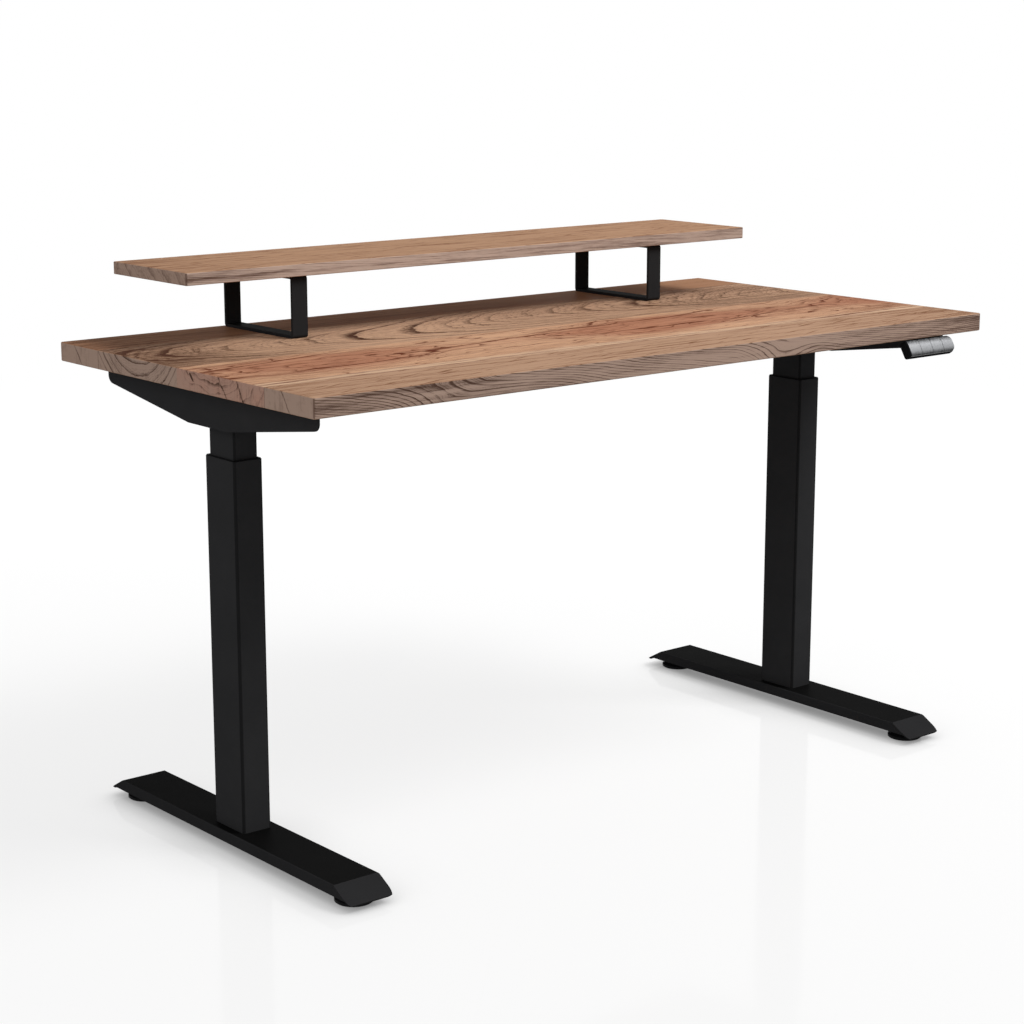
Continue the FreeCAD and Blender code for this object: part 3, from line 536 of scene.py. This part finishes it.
def board_rings(grain, boards, level):
    """Ring numbers on the desktop's four boards, and the width of the arches."""
    hook = swell(grain.along, 230, 170).most(swell(grain.along, 900, 110))
    bends = grain.bends(slow=150, broad=50, fine=8)
    slanted = slanted_rings(grain, 230 - 175 * hook, 0.35, 30, bends)
    arched, wide = arched_rings(grain)
    arched = blend(arched, cupped_rings(grain), grain.end)
    heart = blend(level * 5, level * 2.2, grain.end)
    return boards.pick(slanted, heart, arched, slanted + 0.35), wide


def line_weight(grain, boards, wide, fade):
    """How dark the ring lines are: most on wide arches and edges, in patches on straight grain."""
    side, end = grain.side, grain.end
    near_axis = swell(grain.across, 105, 120)
    calm = 1 - 0.4 * grain.along.rise(750, 1050)
    arch = 1.2 * (0.45 + 0.55 * wide * wide) * (0.5 + 0.5 * near_axis) * calm
    straight = (0.5 * fade.rise(0.02, 0.2) * (1 - side) + 1.35 * side) * (1 - end)
    heart = (0.4 + 0.7 * fade.rise(-0.08, 0.15)) * (1 - 0.2 * end)
    return boards.pick(straight, heart, arch * (1 - end) + 0.85 * end, straight)


def finer_lines(finish, grain, boards, number):
    """The finer lines within each ring of the desktop."""
    side, end = grain.side, grain.end
    shake = grain.fine * (1 - 0.75 * boards.only_heart)
    inner = ring_lines(finish, number * INNER_LINES + shake * 2, 91.3, INNER_LATE_WOOD)
    hair = ring_lines(finish, number * HAIR_LINES + shake * 5, 57.1, HAIR_LATE_WOOD)
    inner_weight = boards.pick(*INNER_WEIGHTS) * (0.8 + 1.6 * side - 1.4 * end)
    return inner * inner_weight + hair * (0.2 + 0.3 * side) * (1 - 0.8 * end)


def vein_line(grain, vein):
    """A thin dark streak on a board's top that runs out at both ends."""
    fade = 40
    middle = vein.place + vein.slope * (grain.along - vein.start) + grain.broad * vein.bend
    begun = grain.along.rise(vein.start - fade, vein.start + fade)
    ended = grain.along.rise(vein.stop - fade, vein.stop + fade)
    near = 1 - abs(grain.across - middle).rise(1.0, 4.5)
    return begun * (1 - ended) * near * (1 - grain.depth.rise(3, 10))


def end_line(grain, place, slope):
    """A thin dark line on the end grain that starts at the top and leans as it goes down."""
    bends = grain.bends(broad=12, fine=4)
    return 1 - abs(grain.across - place - slope * grain.depth - bends).rise(0.8, 3.0)


def knot(grain):
    """A small leaning knot on the end grain."""
    place, drop, lean = -40, 9, 0.8
    half_width, half_height = 3.4, 7
    below = grain.depth - drop
    aside = (grain.across - place + lean * below) / half_width
    level = below / half_height
    return 1 - (aside * aside + level * level).rise(0.5, 1.1)


def dark_marks(grain, boards):
    """Squiggles and veins on the heart board's faces, lines and a knot on the end grain."""
    flat = 1 - grain.side
    marks = 1 - abs(grain.waves(SQUIGGLE) + 0.02).rise(0.0, 0.016)
    marks = marks * grain.waves(SQUIGGLE_PATCH).rise(0.0, 0.1) * boards.only_heart * flat
    for vein in VEINS:
        marks = marks.most(vein_line(grain, vein) * flat)
    for place, slope in END_LINES:
        marks = marks.most(0.8 * grain.end * end_line(grain, place, slope))
    return marks.most(1.3 * grain.end * knot(grain))


def end_rays(finish, grain):
    """Short upright streaks on the end grain, strongest near the heart board's front joint."""
    rays = finish.noise((grain.across / 3.5, grain.depth / 45, 7.7), roughness=0.6)
    dense = 1 - abs(grain.across + 195).rise(20, 45)
    return rays * grain.end * (0.8 + dense)


def sapwood(grain, boards):
    """1 on the cream sapwood along the heart board's front joint."""
    edge = 26 - boards.width + grain.broad * 30 + grain.waves(RIPPLE) * 22
    return boards.in_heart * (1 - (grain.across - edge).rise(-6, 6))


def loose_streaks(grain, boards, sap, fade):
    """Streaks, fibres and dashes that follow no ring."""
    streaks = grain.streak * (boards.pick(*STREAK_WEIGHTS) + 3.5 * sap) + grain.fibre * 1.1
    dashes = grain.dash * boards.pick(*DASH_WEIGHTS) * (1 - grain.side)
    return streaks * (1 - 0.7 * grain.end) + dashes + fade * 0.9 * grain.end


def painted_light_stretches(grain, boards):
    """Painted light and shade on the desktop: paler stretches, above 0, and darker ones, below it.
    """
    along, side, end = grain.along, grain.side, grain.end
    # Painted light: the long edges paler towards their middle
    long_edge = 0.42 * swell(along, 800, 560) - 0.15 * swell(along, 250, 200)
    # Painted light: the rear board grows paler towards the right, where the shelf's shadow ends
    rear = 0.35 * along.rise(700, 1000) + 0.7 * swell(along, 1000, 150) * (1 - side)
    left = (0.15 + 0.25 * boards.in_arch) * (1 - along.rise(20, 220)) * (1 - end)
    right = 0.22 * along.rise(900, 1400)
    return side * (1 - end) * long_edge + boards.in_rear * rear - left - right + 0.1 * end


def board_colours(finish, wood, grain, boards, level, sap, fade):
    """The pale and the dark colour of the wood at a spot of the desktop."""
    reddish = level.rise(-0.75, 0.35) * (1 - sap) * boards.only_heart
    red_end = grain.end * boards.only_heart * (0.75 + fade)
    pale = boards.pick_colour(
        wood.front_light, wood.heart_light, wood.arch_light, wood.rear_light,
    )
    pale = finish.mix(reddish, pale, wood.heart_red)
    pale = finish.mix(sap, pale, wood.sapwood)
    pale = finish.mix(grain.side, pale, wood.edge_light)
    pale = finish.mix(red_end, pale, wood.end_red)
    dark = boards.pick_colour(wood.front_dark, wood.heart_dark, wood.arch_dark, wood.rear_dark)
    return pale, finish.mix(grain.side, dark, wood.edge_dark)


def oiled_surface(finish, grain, body, tone, line):
    """Ends a wood's tree: an oiled surface with fibres, pores and rings in its relief."""
    height = grain.fibre * 0.5 - grain.pores * 0.6 - line * 0.4
    return finish.surface(
        Base_Color=body, Roughness=0.52 + grain.fibre * 0.10 + tone * 0.06,
        Normal=finish.bump(height, strength=0.25, distance=0.4), Specular_IOR_Level=WOOD_GLOSS,
    )


def oiled_boards(wood):
    """Edge-glued boards of the desktop: front, heart, arched and rear board."""
    finish = Finish("oiled_boards")
    grain = Grain(finish, "desktop", seed=0.0)
    boards = Boards(finish, grain, wood.board_width * IN_MM)
    fade = grain.waves(DESKTOP_FADE)
    level = heart_level(grain)
    sap = sapwood(grain, boards)
    number, wide = board_rings(grain, boards, level)
    line = ring_lines(finish, number, 3.7)
    tone = line * line_weight(grain, boards, wide, fade)
    tone = tone + finer_lines(finish, grain, boards, number)
    tone = tone + dark_marks(grain, boards) * 0.8 + end_rays(finish, grain)
    drift = 0.5 - 0.5 * ((grain.along - 500) * (math.tau / 1080)).cosine()
    tone = tone * (1 - 0.6 * sap) + drift * 0.2 * boards.only_arch * (1 - grain.side)
    tone = tone + loose_streaks(grain, boards, sap, fade) + grain.slow * 0.4 + grain.pores * 0.2
    tone = tone - painted_light_stretches(grain, boards)
    pale, dark = board_colours(finish, wood, grain, boards, level, sap, fade)
    body = finish.mix(tone, pale, dark)
    seam = 1 - abs(abs(grain.across) - boards.width).rise(0.3, 0.9)
    # Painted shade: a dark line down the desktop's front-left upright corner
    corner = (1 - (grain.along + grain.behind).rise(2.6, 3.6)) * grain.side
    body = finish.mix((seam * 0.6).most(corner * 0.9), body, wood.arch_dark)
    return oiled_surface(finish, grain, body, tone, line)


def oiled_shelf(wood):
    """The single straight-grained board of the monitor shelf."""
    finish = Finish("oiled_shelf")
    grain = Grain(finish, "riser_shelf", seed=40.0)
    along, side, end = grain.along, grain.side, grain.end
    slanted = slanted_rings(grain, 400, 0.45, 34, grain.bends(slow=120, broad=40, fine=7))
    sawn = (grain.behind * 0.7 + grain.depth * 0.8 + grain.broad * 22) / 26
    number = blend(slanted, sawn, end)
    line = ring_lines(finish, number, 33.7)
    inner = ring_lines(finish, number * INNER_LINES + grain.fine * 2, 71.3, INNER_LATE_WOOD)
    sparse = grain.waves(SHELF_FADE).rise(0.10, 0.2)
    tone = line * (0.6 * sparse * (1 - side) + (1.3 - 0.6 * end) * side)
    tone = tone + inner * (0.12 + 0.35 * side)
    tone = tone + (grain.streak * 3.6 + grain.fibre * 1.1) * (1 - 0.7 * end)
    tone = tone + grain.dash * 0.8 * (1 - side) + grain.slow * 0.4 + grain.pores * 0.2
    tone = tone + 0.22 * (1 - along.rise(0, 350)) * (1 - end)
    tone = tone - 0.4 * side * (1 - end) * swell(along, 400, 380)
    pale = finish.mix(side, wood.shelf_light, wood.shelf_edge_light)
    pale = finish.mix(end, pale, wood.edge_light)
    dark = finish.mix(side, wood.shelf_dark, wood.shelf_edge_dark)
    body = finish.mix(tone, pale, dark)
    # Painted shade: a dark line down the shelf's front-left upright corner
    corner = (1 - (along + grain.behind).rise(2.2, 3.2)) * side
    body = finish.mix(corner * 0.8, body, wood.shelf_edge_dark)
    return oiled_surface(finish, grain, body, tone, line)


# Coats, plastics and metals

# Sizes of their marks along x, y and z in millimetres
PEEL = (0.8, 0.8, 0.8)
CLOUD = (60, 60, 60)
SCUFF = (2, 2, 2)
BRUSHED = (9, 0.3, 0.3)
MOTTLE = (4, 4, 4)
TURNED = (6, 6, 0.3)
CAST = (0.7, 0.7, 0.7)
DRAWN = (0.5, 0.5, 4)
STAIN = (15, 15, 15)

# Height over the floor at which a foot pad's stud begins, and the pitch of its thread
STUD_FOOT = (13.0, 13.4)
THREAD_PITCH = 1.5

COAT_GLOSS = 0.004
PAD_GLOSS = 0.03


def powder_coat(name, shade, roughness, top=None):
    """A fine matte coat with a faint peel, painted shade on its upright rounded corners, and a
    painted shade for its upward faces if one is given.
    """
    finish = Finish(name)
    spot = finish.place()
    face_x, face_y, face_z = finish.facing()
    peel = finish.grit(spot, PEEL, roughness=0.6)
    cloud = finish.grit(spot, CLOUD)
    body = finish.mix(0.5 + peel * 0.5 + cloud * 0.6, tinted(shade, 0.8), tinted(shade, 1.25))
    # Painted shade: the upright rounded corners are darkened
    corner = (abs(face_x) * abs(face_y)).rise(0.1, 0.35)
    body = finish.mix(corner * 0.7, body, tinted(shade, 0.3))
    # Painted shade: upward faces take the given darker shade
    if top is not None:
        body = finish.mix(face_z.rise(0.9, 0.99) * (1 + peel * 0.3), body, top)
    return finish.surface(
        Base_Color=body, Roughness=roughness + peel * 0.1 + cloud * 0.1,
        Normal=finish.bump(peel, strength=0.12, distance=0.3), Specular_IOR_Level=COAT_GLOSS,
    )


def foot_pad(shade, steel):
    """A black foot pad on a plated stud, with the stud's thread."""
    finish = Finish("foot_pad")
    x, y, z = finish.place()
    stud = z.rise(*STUD_FOOT)
    thread = ((z / THREAD_PITCH) * math.tau).sine()
    scuff = finish.grit((x, y, z), SCUFF, detail=3.0, roughness=0.6)
    body = finish.mix(0.5 + scuff, shade, tinted(shade, 1.6))
    body = finish.mix(stud * (0.85 + thread * 0.15), body, steel)
    relief = thread * stud + scuff * 0.1
    return finish.surface(
        Base_Color=body, Metallic=stud, Roughness=0.3 + scuff * 0.2,
        Normal=finish.bump(relief, strength=0.3, distance=0.4), Specular_IOR_Level=PAD_GLOSS,
    )


def brushed_keys(shade):
    """Brushed metal on the crowned keys, with painted shade that darkens them towards their upper
    and lower edges.
    """
    finish = Finish("brushed_keys")
    x, y, z = finish.place()
    low, high = (corner * IN_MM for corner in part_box("handset_key_up"))
    up = (z - (low.z + high.z) / 2) / ((high.z - low.z) / 2)
    lines = finish.grit((x, y, z), BRUSHED, detail=3.0, roughness=0.6)
    mottle = finish.grit((x, y, z), MOTTLE, detail=3.0, roughness=0.6)
    # Painted shade towards the keys' upper and lower edges
    painted_edge_shade = abs(up - 0.05).rise(0.25, 0.98)
    body = finish.mix(painted_edge_shade + mottle * 0.9 + lines * 0.2, shade, tinted(shade, 0.09))
    return finish.surface(
        Base_Color=body, Metallic=1.0, Roughness=0.4 + lines * 0.15 + mottle * 0.2,
        Normal=finish.bump(lines, strength=0.15, distance=0.2),
    )


def bare_metal(name, shade, roughness, marks):
    """Bare metal with the fine marks of its making."""
    finish = Finish(name)
    spot = finish.place()
    lines = finish.grit(spot, marks, detail=3.0, roughness=0.6)
    cloud = finish.grit(spot, STAIN)
    body = finish.mix(0.5 + lines * 0.7 + cloud * 0.4, tinted(shade, 0.82), tinted(shade, 1.12))
    return finish.surface(
        Base_Color=body, Metallic=1.0, Roughness=roughness + lines * 0.15 + cloud * 0.1,
        Normal=finish.bump(lines, strength=0.15, distance=0.2),
    )


# Screws

Y_AXIS, Z_AXIS = 1, 2
SCREW_STEPS = 24
SHARP_EDGE = math.radians(35)
SAME_POINT = 0.001 * MM

# Points farther out than the first share of the head's radius are the head's, and points nearer
# than the second are the axis's
HEAD_SHARE = 0.9
AXIS_SHARE = 0.1

# The point's radius and length, as shares of the shank's
POINT_RADIUS = 0.6
POINT_LENGTH = 0.06

# Profiles of the head: height above its seat and radius, as shares of its height and radius
HEAD_SIDE = ((0.0, 0.96), (0.1, 1.0), (0.35, 1.0))
HEAD_DOME = tuple(
    (0.35 + 0.65 * math.sin(turn), 0.66 + 0.34 * math.cos(turn))
    for turn in (0.5, 0.9, 1.25, math.pi / 2)
)
HEAD_SOCKET = ((1.0, 0.5), (0.92, 0.45), (0.35, 0.45))


class Screw(NamedTuple):
    """Measures of a plain screw: its axis, where it stands, its places along it and its radii."""

    axis: int
    across: tuple
    middle: tuple
    tip: float
    seat: float
    face: float
    shank: float
    head: float


def screws_in(node):
    """The points of each separate screw in a node."""
    shape = bmesh.new()
    shape.from_mesh(NODES[node].data)
    bmesh.ops.remove_doubles(shape, verts=shape.verts, dist=SAME_POINT)
    waiting = set(shape.verts)
    screws = []
    for start in shape.verts:
        if start not in waiting:
            continue
        waiting.remove(start)
        screw = [start]
        for vertex in screw:
            joined = [edge.other_vert(vertex) for edge in vertex.link_edges]
            found = [other for other in joined if other in waiting]
            waiting.difference_update(found)
            screw.extend(found)
        screws.append([vertex.co.copy() for vertex in screw])
    shape.free()
    return screws


def measure_screw(points, axis):
    """The measures of a plain screw from its points."""
    across = tuple(a for a in range(3) if a != axis)
    middle = tuple((min(p[a] for p in points) + max(p[a] for p in points)) / 2 for a in across)
    radii = [math.hypot(*(p[a] - m for a, m in zip(across, middle))) for p in points]
    places = [p[axis] for p in points]
    head = max(radii)
    shank = min(radius for radius in radii if radius > AXIS_SHARE * head)
    head_places = [place for radius, place in zip(radii, places) if radius > HEAD_SHARE * head]
    low, high = min(places), max(places)
    face, seat, tip = max(head_places), min(head_places), low
    if seat - low < high - face:
        face, seat, tip = seat, face, high
    return Screw(axis, across, middle, tip, seat, face, shank, head)


def screw_rings(screw):
    """The rings of a screw with a domed head and a hexagon socket: place, radius, hexagon."""
    tall = screw.face - screw.seat
    rings = [
        (screw.tip, POINT_RADIUS * screw.shank, False),
        (screw.tip - (screw.tip - screw.seat) * POINT_LENGTH, screw.shank, False),
        (screw.seat, screw.shank, False),
    ]
    for height, radius in HEAD_SIDE + HEAD_DOME:
        rings.append((screw.seat + height * tall, radius * screw.head, False))
    for height, radius in HEAD_SOCKET:
        rings.append((screw.seat + height * tall, radius * screw.head, True))
    return rings


def hexagon_share(turn):
    """A hexagon's reach in a direction, as a share of its reach at the corners."""
    sixth = math.pi / 3
    return math.cos(sixth / 2) / math.cos(turn % sixth - sixth / 2)


def add_screw(shape, screw):
    """Adds one screw inside the space of the plain one."""
    first, second = screw.across
    rows = []
    for place, radius, hexagon in screw_rings(screw):
        row = []
        for step in range(SCREW_STEPS):
            turn = step * math.tau / SCREW_STEPS
            reach = radius * hexagon_share(turn) if hexagon else radius
            spot = Vector()
            spot[screw.axis] = place
            spot[first] = screw.middle[0] + reach * math.cos(turn)
            spot[second] = screw.middle[1] + reach * math.sin(turn)
            row.append(shape.verts.new(spot))
        rows.append(row)
    for lower, upper in zip(rows, rows[1:]):
        for step in range(SCREW_STEPS):
            after = (step + 1) % SCREW_STEPS
            shape.faces.new((lower[step], lower[after], upper[after], upper[step]))
    shape.faces.new(rows[0])
    shape.faces.new(rows[-1])


def make_screws(node, body, axis, material):
    """Replaces a node of plain screws by screws with domed heads and hexagon sockets."""
    mesh = bpy.data.meshes.new(f"{node}_socketed")
    shape = bmesh.new()
    for points in screws_in(node):
        add_screw(shape, measure_screw(points, axis))
    bmesh.ops.recalc_face_normals(shape, faces=shape.faces)
    shape.to_mesh(mesh)
    shape.free()
    for polygon in mesh.polygons:
        polygon.use_smooth = True
    mesh.set_sharp_from_angle(angle=SHARP_EDGE)
    mesh.materials.append(material)
    piece = bpy.data.objects.new(f"{node}_socketed", mesh)
    bpy.context.scene.collection.objects.link(piece)
    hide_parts(node)
    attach(piece, body)


# Studio, in metres

KEY_PLACE, KEY_SIZE = (3.0, -3.6, 6.0), 3.0
FILL_PLACE, FILL_SIZE = (-5.0, -1.2, 2.2), 3.0
BACK_PLACE, BACK_SIZE = (1.5, 5.0, 0.7), 1.2
FLOOR_REACH = 40
FLOOR_FADE = (1.6, 4.6)

# How far from a piece the floor's painted shadow reaches, where its glow dims, and the share of the
# glow that is left in it
SHADOW_REACH = 0.15
SHADOW_GLOW = 0.25

FLOOR_ROUGHNESS = 0.08
FLOOR_GLOSS = 0.03
BLACK, WHITE = (0, 0, 0), (1, 1, 1)

# In millimetres, as the lens is
SENSOR_WIDTH = 36


def seen_ray(finish):
    """1 for what the camera sees directly, in a reflection or through glass."""
    path = finish.node("ShaderNodeLightPath", out="Is Camera Ray")
    outputs = path.socket.node.outputs
    glossy = Wire(finish, outputs["Is Glossy Ray"])
    through = Wire(finish, outputs["Is Transmission Ray"])
    return path.most(glossy).most(through)


def floor_finish(studio):
    """A pale floor that keeps the desk's shadow, with a painted shadow where its glow dims near the
    pieces, and fades to white far away.
    """
    finish = Finish("studio_floor")
    seen = seen_ray(finish)
    x, y, _ = finish.place(scale=1.0)
    far = (x * x + y * y).root().rise(*FLOOR_FADE)
    # Painted shadow: the floor's glow dims where pieces stand close
    open_sky = finish.node(
        "ShaderNodeAmbientOcclusion", {"samples": 16}, {"Distance": SHADOW_REACH}, out="AO",
    )
    glow = finish.mix(seen * blend(SHADOW_GLOW, 1, open_sky), BLACK, [studio.glow] * 3)
    matte = finish.node("ShaderNodeBsdfPrincipled", None, {
        "Base Color": finish.mix(seen, studio.floor_bounce, studio.floor),
        "Roughness": FLOOR_ROUGHNESS, "Specular IOR Level": FLOOR_GLOSS,
        "Emission Color": glow, "Emission Strength": 1.0,
    })
    white = finish.node("ShaderNodeEmission", None, {"Color": WHITE, "Strength": 1.0})
    surface = finish.node("ShaderNodeMixShader", None, {0: far * seen, 1: matte, 2: white})
    finish.node("ShaderNodeOutputMaterial", None, {"Surface": surface})
    return finish.owner


def lay_floor(studio):
    """A wide plain floor at the height of the foot pads' soles."""
    corners = [
        (x * FLOOR_REACH, y * FLOOR_REACH, 0) for x, y in ((-1, -1), (1, -1), (1, 1), (-1, 1))
    ]
    mesh = bpy.data.meshes.new("studio_floor")
    mesh.from_pydata(corners, [], [(0, 1, 2, 3)])
    mesh.materials.append(floor_finish(studio))
    floor = bpy.data.objects.new("studio_floor", mesh)
    bpy.context.scene.collection.objects.link(floor)


def light_world(scene, studio):
    """White where it is seen, an even dome of light elsewhere."""
    finish = Finish("studio_world", world=True)
    tone = finish.mix(seen_ray(finish), [studio.dome] * 3, WHITE)
    shader = finish.node("ShaderNodeBackground", None, {"Color": tone, "Strength": 1.0})
    finish.node("ShaderNodeOutputWorld", None, {"Surface": shader})
    scene.world = finish.owner


def hang_lamp(name, place, size, power, mirrored=True):
    """A square soft lamp that points at the middle of the desk, mirrored in gloss or not."""
    lamp = bpy.data.lights.new(name, "AREA")
    lamp.shape = "SQUARE"
    lamp.size = size
    lamp.energy = power
    hung = bpy.data.objects.new(name, lamp)
    low, high = (Vector(corner) for corner in CAD_BOX)
    aim = (low + high) / 2 - Vector(place)
    hung.location = place
    hung.rotation_euler = aim.to_track_quat("-Z", "Y").to_euler()
    hung.visible_glossy = mirrored
    bpy.context.scene.collection.objects.link(hung)


def set_camera(scene, studio):
    """The photograph's viewpoint."""
    camera = bpy.data.cameras.new("studio_camera")
    camera.sensor_width = SENSOR_WIDTH
    camera.lens = studio.lens
    hung = bpy.data.objects.new("studio_camera", camera)
    hung.location = studio.eye
    hung.rotation_euler = (math.pi / 2 - studio.pitch, 0, -studio.yaw)
    scene.collection.objects.link(hung)
    scene.camera = hung


# Operators

class DESK_OT_boards(bpy.types.Operator):
    """Finish the desktop and the monitor shelf as oiled wood"""

    bl_idname = "desk.boards"
    bl_label = "Boards"

    def execute(self, context):
        wood = context.scene.desk_wood
        dress("desktop", oiled_boards(wood))
        dress("riser_shelf", oiled_shelf(wood))
        return {"FINISHED"}


class DESK_OT_steelwork(bpy.types.Operator):
    """Coat the feet, straps, columns, brackets and rails"""

    bl_idname = "desk.steelwork"
    bl_label = "Steelwork"

    def execute(self, context):
        metal = context.scene.desk_metal
        coat = powder_coat("black_powder_coat", metal.coat, 0.55)
        # The feet and the shelf's straps take the darker copy of the coat, as painted shade
        foot_coat_painted_shade = powder_coat("black_foot_coat", metal.foot_coat_painted_shade, 0.55, top=metal.foot_top_painted_shade)
        for side in SIDES:
            for piece in ("foot", "riser_bracket"):
                dress(f"{piece}_{side}", foot_coat_painted_shade)
            for piece in ("outer_column", "inner_column", "side_bracket", "column_head"):
                dress(f"{piece}_{side}", coat)
        for piece in ("cross_rail_front", "cross_rail_rear"):
            dress(piece, coat)
        return {"FINISHED"}


class DESK_OT_mouldings(bpy.types.Operator):
    """Finish the moulded black pieces and the handset's circuit board"""

    bl_idname = "desk.mouldings"
    bl_label = "Mouldings"

    def execute(self, context):
        metal = context.scene.desk_metal
        plastic = powder_coat("moulded_black", metal.plastic, 0.5)
        pad = foot_pad(metal.plastic, metal.steel)
        for side in SIDES:
            for piece in ("guide_collar", "slide_shoe", "handset_cap"):
                dress(f"{piece}_{side}", plastic)
            for piece in ("leveller_front", "leveller_back"):
                dress(f"{piece}_{side}", pad)
        for piece in ("control_box", "control_lid", "control_sockets", "handset_housing"):
            dress(piece, plastic)
        dress("handset_board", powder_coat("solder_resist", metal.board, 0.4))
        return {"FINISHED"}


class DESK_OT_keys(bpy.types.Operator):
    """Finish the four handset keys as brushed metal"""

    bl_idname = "desk.keys"
    bl_label = "Handset keys"

    def execute(self, context):
        brushed = brushed_keys(context.scene.desk_metal.keys)
        for key in ("up", "down", "memory_a", "memory_b"):
            dress(f"handset_key_{key}", brushed)
        return {"FINISHED"}


class DESK_OT_lifting_gear(bpy.types.Operator):
    """Finish the motors, gears, spindles and base plates"""

    bl_idname = "desk.lifting_gear"
    bl_label = "Lifting gear"

    def execute(self, context):
        metal = context.scene.desk_metal
        steel = bare_metal("turned_steel", metal.steel, 0.32, TURNED)
        bronze = bare_metal("turned_bronze", metal.bronze, 0.35, TURNED)
        alloy = bare_metal("cast_alloy", metal.alloy, 0.5, CAST)
        for side in SIDES:
            for piece in ("base_plate", "nut_tube", "spindle", "worm", "bearing", "motor"):
                dress(f"{piece}_{side}", steel)
            for piece in ("drive_nut", "worm_wheel"):
                dress(f"{piece}_{side}", bronze)
            for piece in ("gear_housing", "gear_cover"):
                dress(f"{piece}_{side}", alloy)
        return {"FINISHED"}


class DESK_OT_screws(bpy.types.Operator):
    """Make the screws and bolts with domed heads and hexagon sockets"""

    bl_idname = "desk.screws"
    bl_label = "Screws"

    def execute(self, context):
        metal = context.scene.desk_metal
        plated = bare_metal("plated_screws", metal.steel, 0.3, DRAWN)
        black = powder_coat("black_screws", metal.plastic, 0.4)
        make_screws("foot_bolts_left", "base_left", Z_AXIS, plated)
        make_screws("foot_bolts_right", "base_right", Z_AXIS, plated)
        make_screws("desktop_screws", "top", Z_AXIS, plated)
        make_screws("rail_bolts", "top", Y_AXIS, plated)
        make_screws("riser_screws", "top", Z_AXIS, black)
        return {"FINISHED"}


class DESK_OT_studio(bpy.types.Operator):
    """Set the floor, the light and the camera"""

    bl_idname = "desk.studio"
    bl_label = "Studio"

    def execute(self, context):
        studio = context.scene.desk_studio
        lay_floor(studio)
        light_world(context.scene, studio)
        hang_lamp("key_lamp", KEY_PLACE, KEY_SIZE, studio.key)
        hang_lamp("fill_lamp", FILL_PLACE, FILL_SIZE, studio.fill, mirrored=False)
        hang_lamp("back_lamp", BACK_PLACE, BACK_SIZE, studio.back, mirrored=False)
        set_camera(context.scene, studio)
        context.scene.view_settings.view_transform = "Standard"
        return {"FINISHED"}


# Panel and registration

class DESK_PT_desk(bpy.types.Panel):
    """The desk's pieces in the order in which they are made, and their settings"""

    bl_idname = "DESK_PT_desk"
    bl_label = "Desk"
    bl_space_type = "VIEW_3D"
    bl_region_type = "UI"
    bl_category = "Desk"

    def draw(self, context):
        for operator in OPERATORS:
            self.layout.operator(operator.bl_idname)
        for name in GROUPS:
            settings = getattr(context.scene, name)
            for key in settings.bl_rna.properties.keys():
                if key not in ("rna_type", "name"):
                    self.layout.prop(settings, key)


GROUPS = {"desk_wood": DeskWood, "desk_metal": DeskMetal, "desk_studio": DeskStudio}
OPERATORS = (
    DESK_OT_boards, DESK_OT_steelwork, DESK_OT_mouldings, DESK_OT_keys, DESK_OT_lifting_gear,
    DESK_OT_screws, DESK_OT_studio,
)


def register():
    for group in GROUPS.values():
        bpy.utils.register_class(group)
    for name, group in GROUPS.items():
        setattr(bpy.types.Scene, name, PointerProperty(type=group))
    for operator in OPERATORS:
        bpy.utils.register_class(operator)
    bpy.utils.register_class(DESK_PT_desk)


def unregister():
    bpy.utils.unregister_class(DESK_PT_desk)
    for operator in reversed(OPERATORS):
        bpy.utils.unregister_class(operator)
    for name, group in GROUPS.items():
        delattr(bpy.types.Scene, name)
        bpy.utils.unregister_class(group)


def main():
    register()
    bpy.ops.desk.boards()
    bpy.ops.desk.steelwork()
    bpy.ops.desk.mouldings()
    bpy.ops.desk.keys()
    bpy.ops.desk.lifting_gear()
    bpy.ops.desk.screws()
    bpy.ops.desk.studio()


if __name__ == "__main__":
    main()
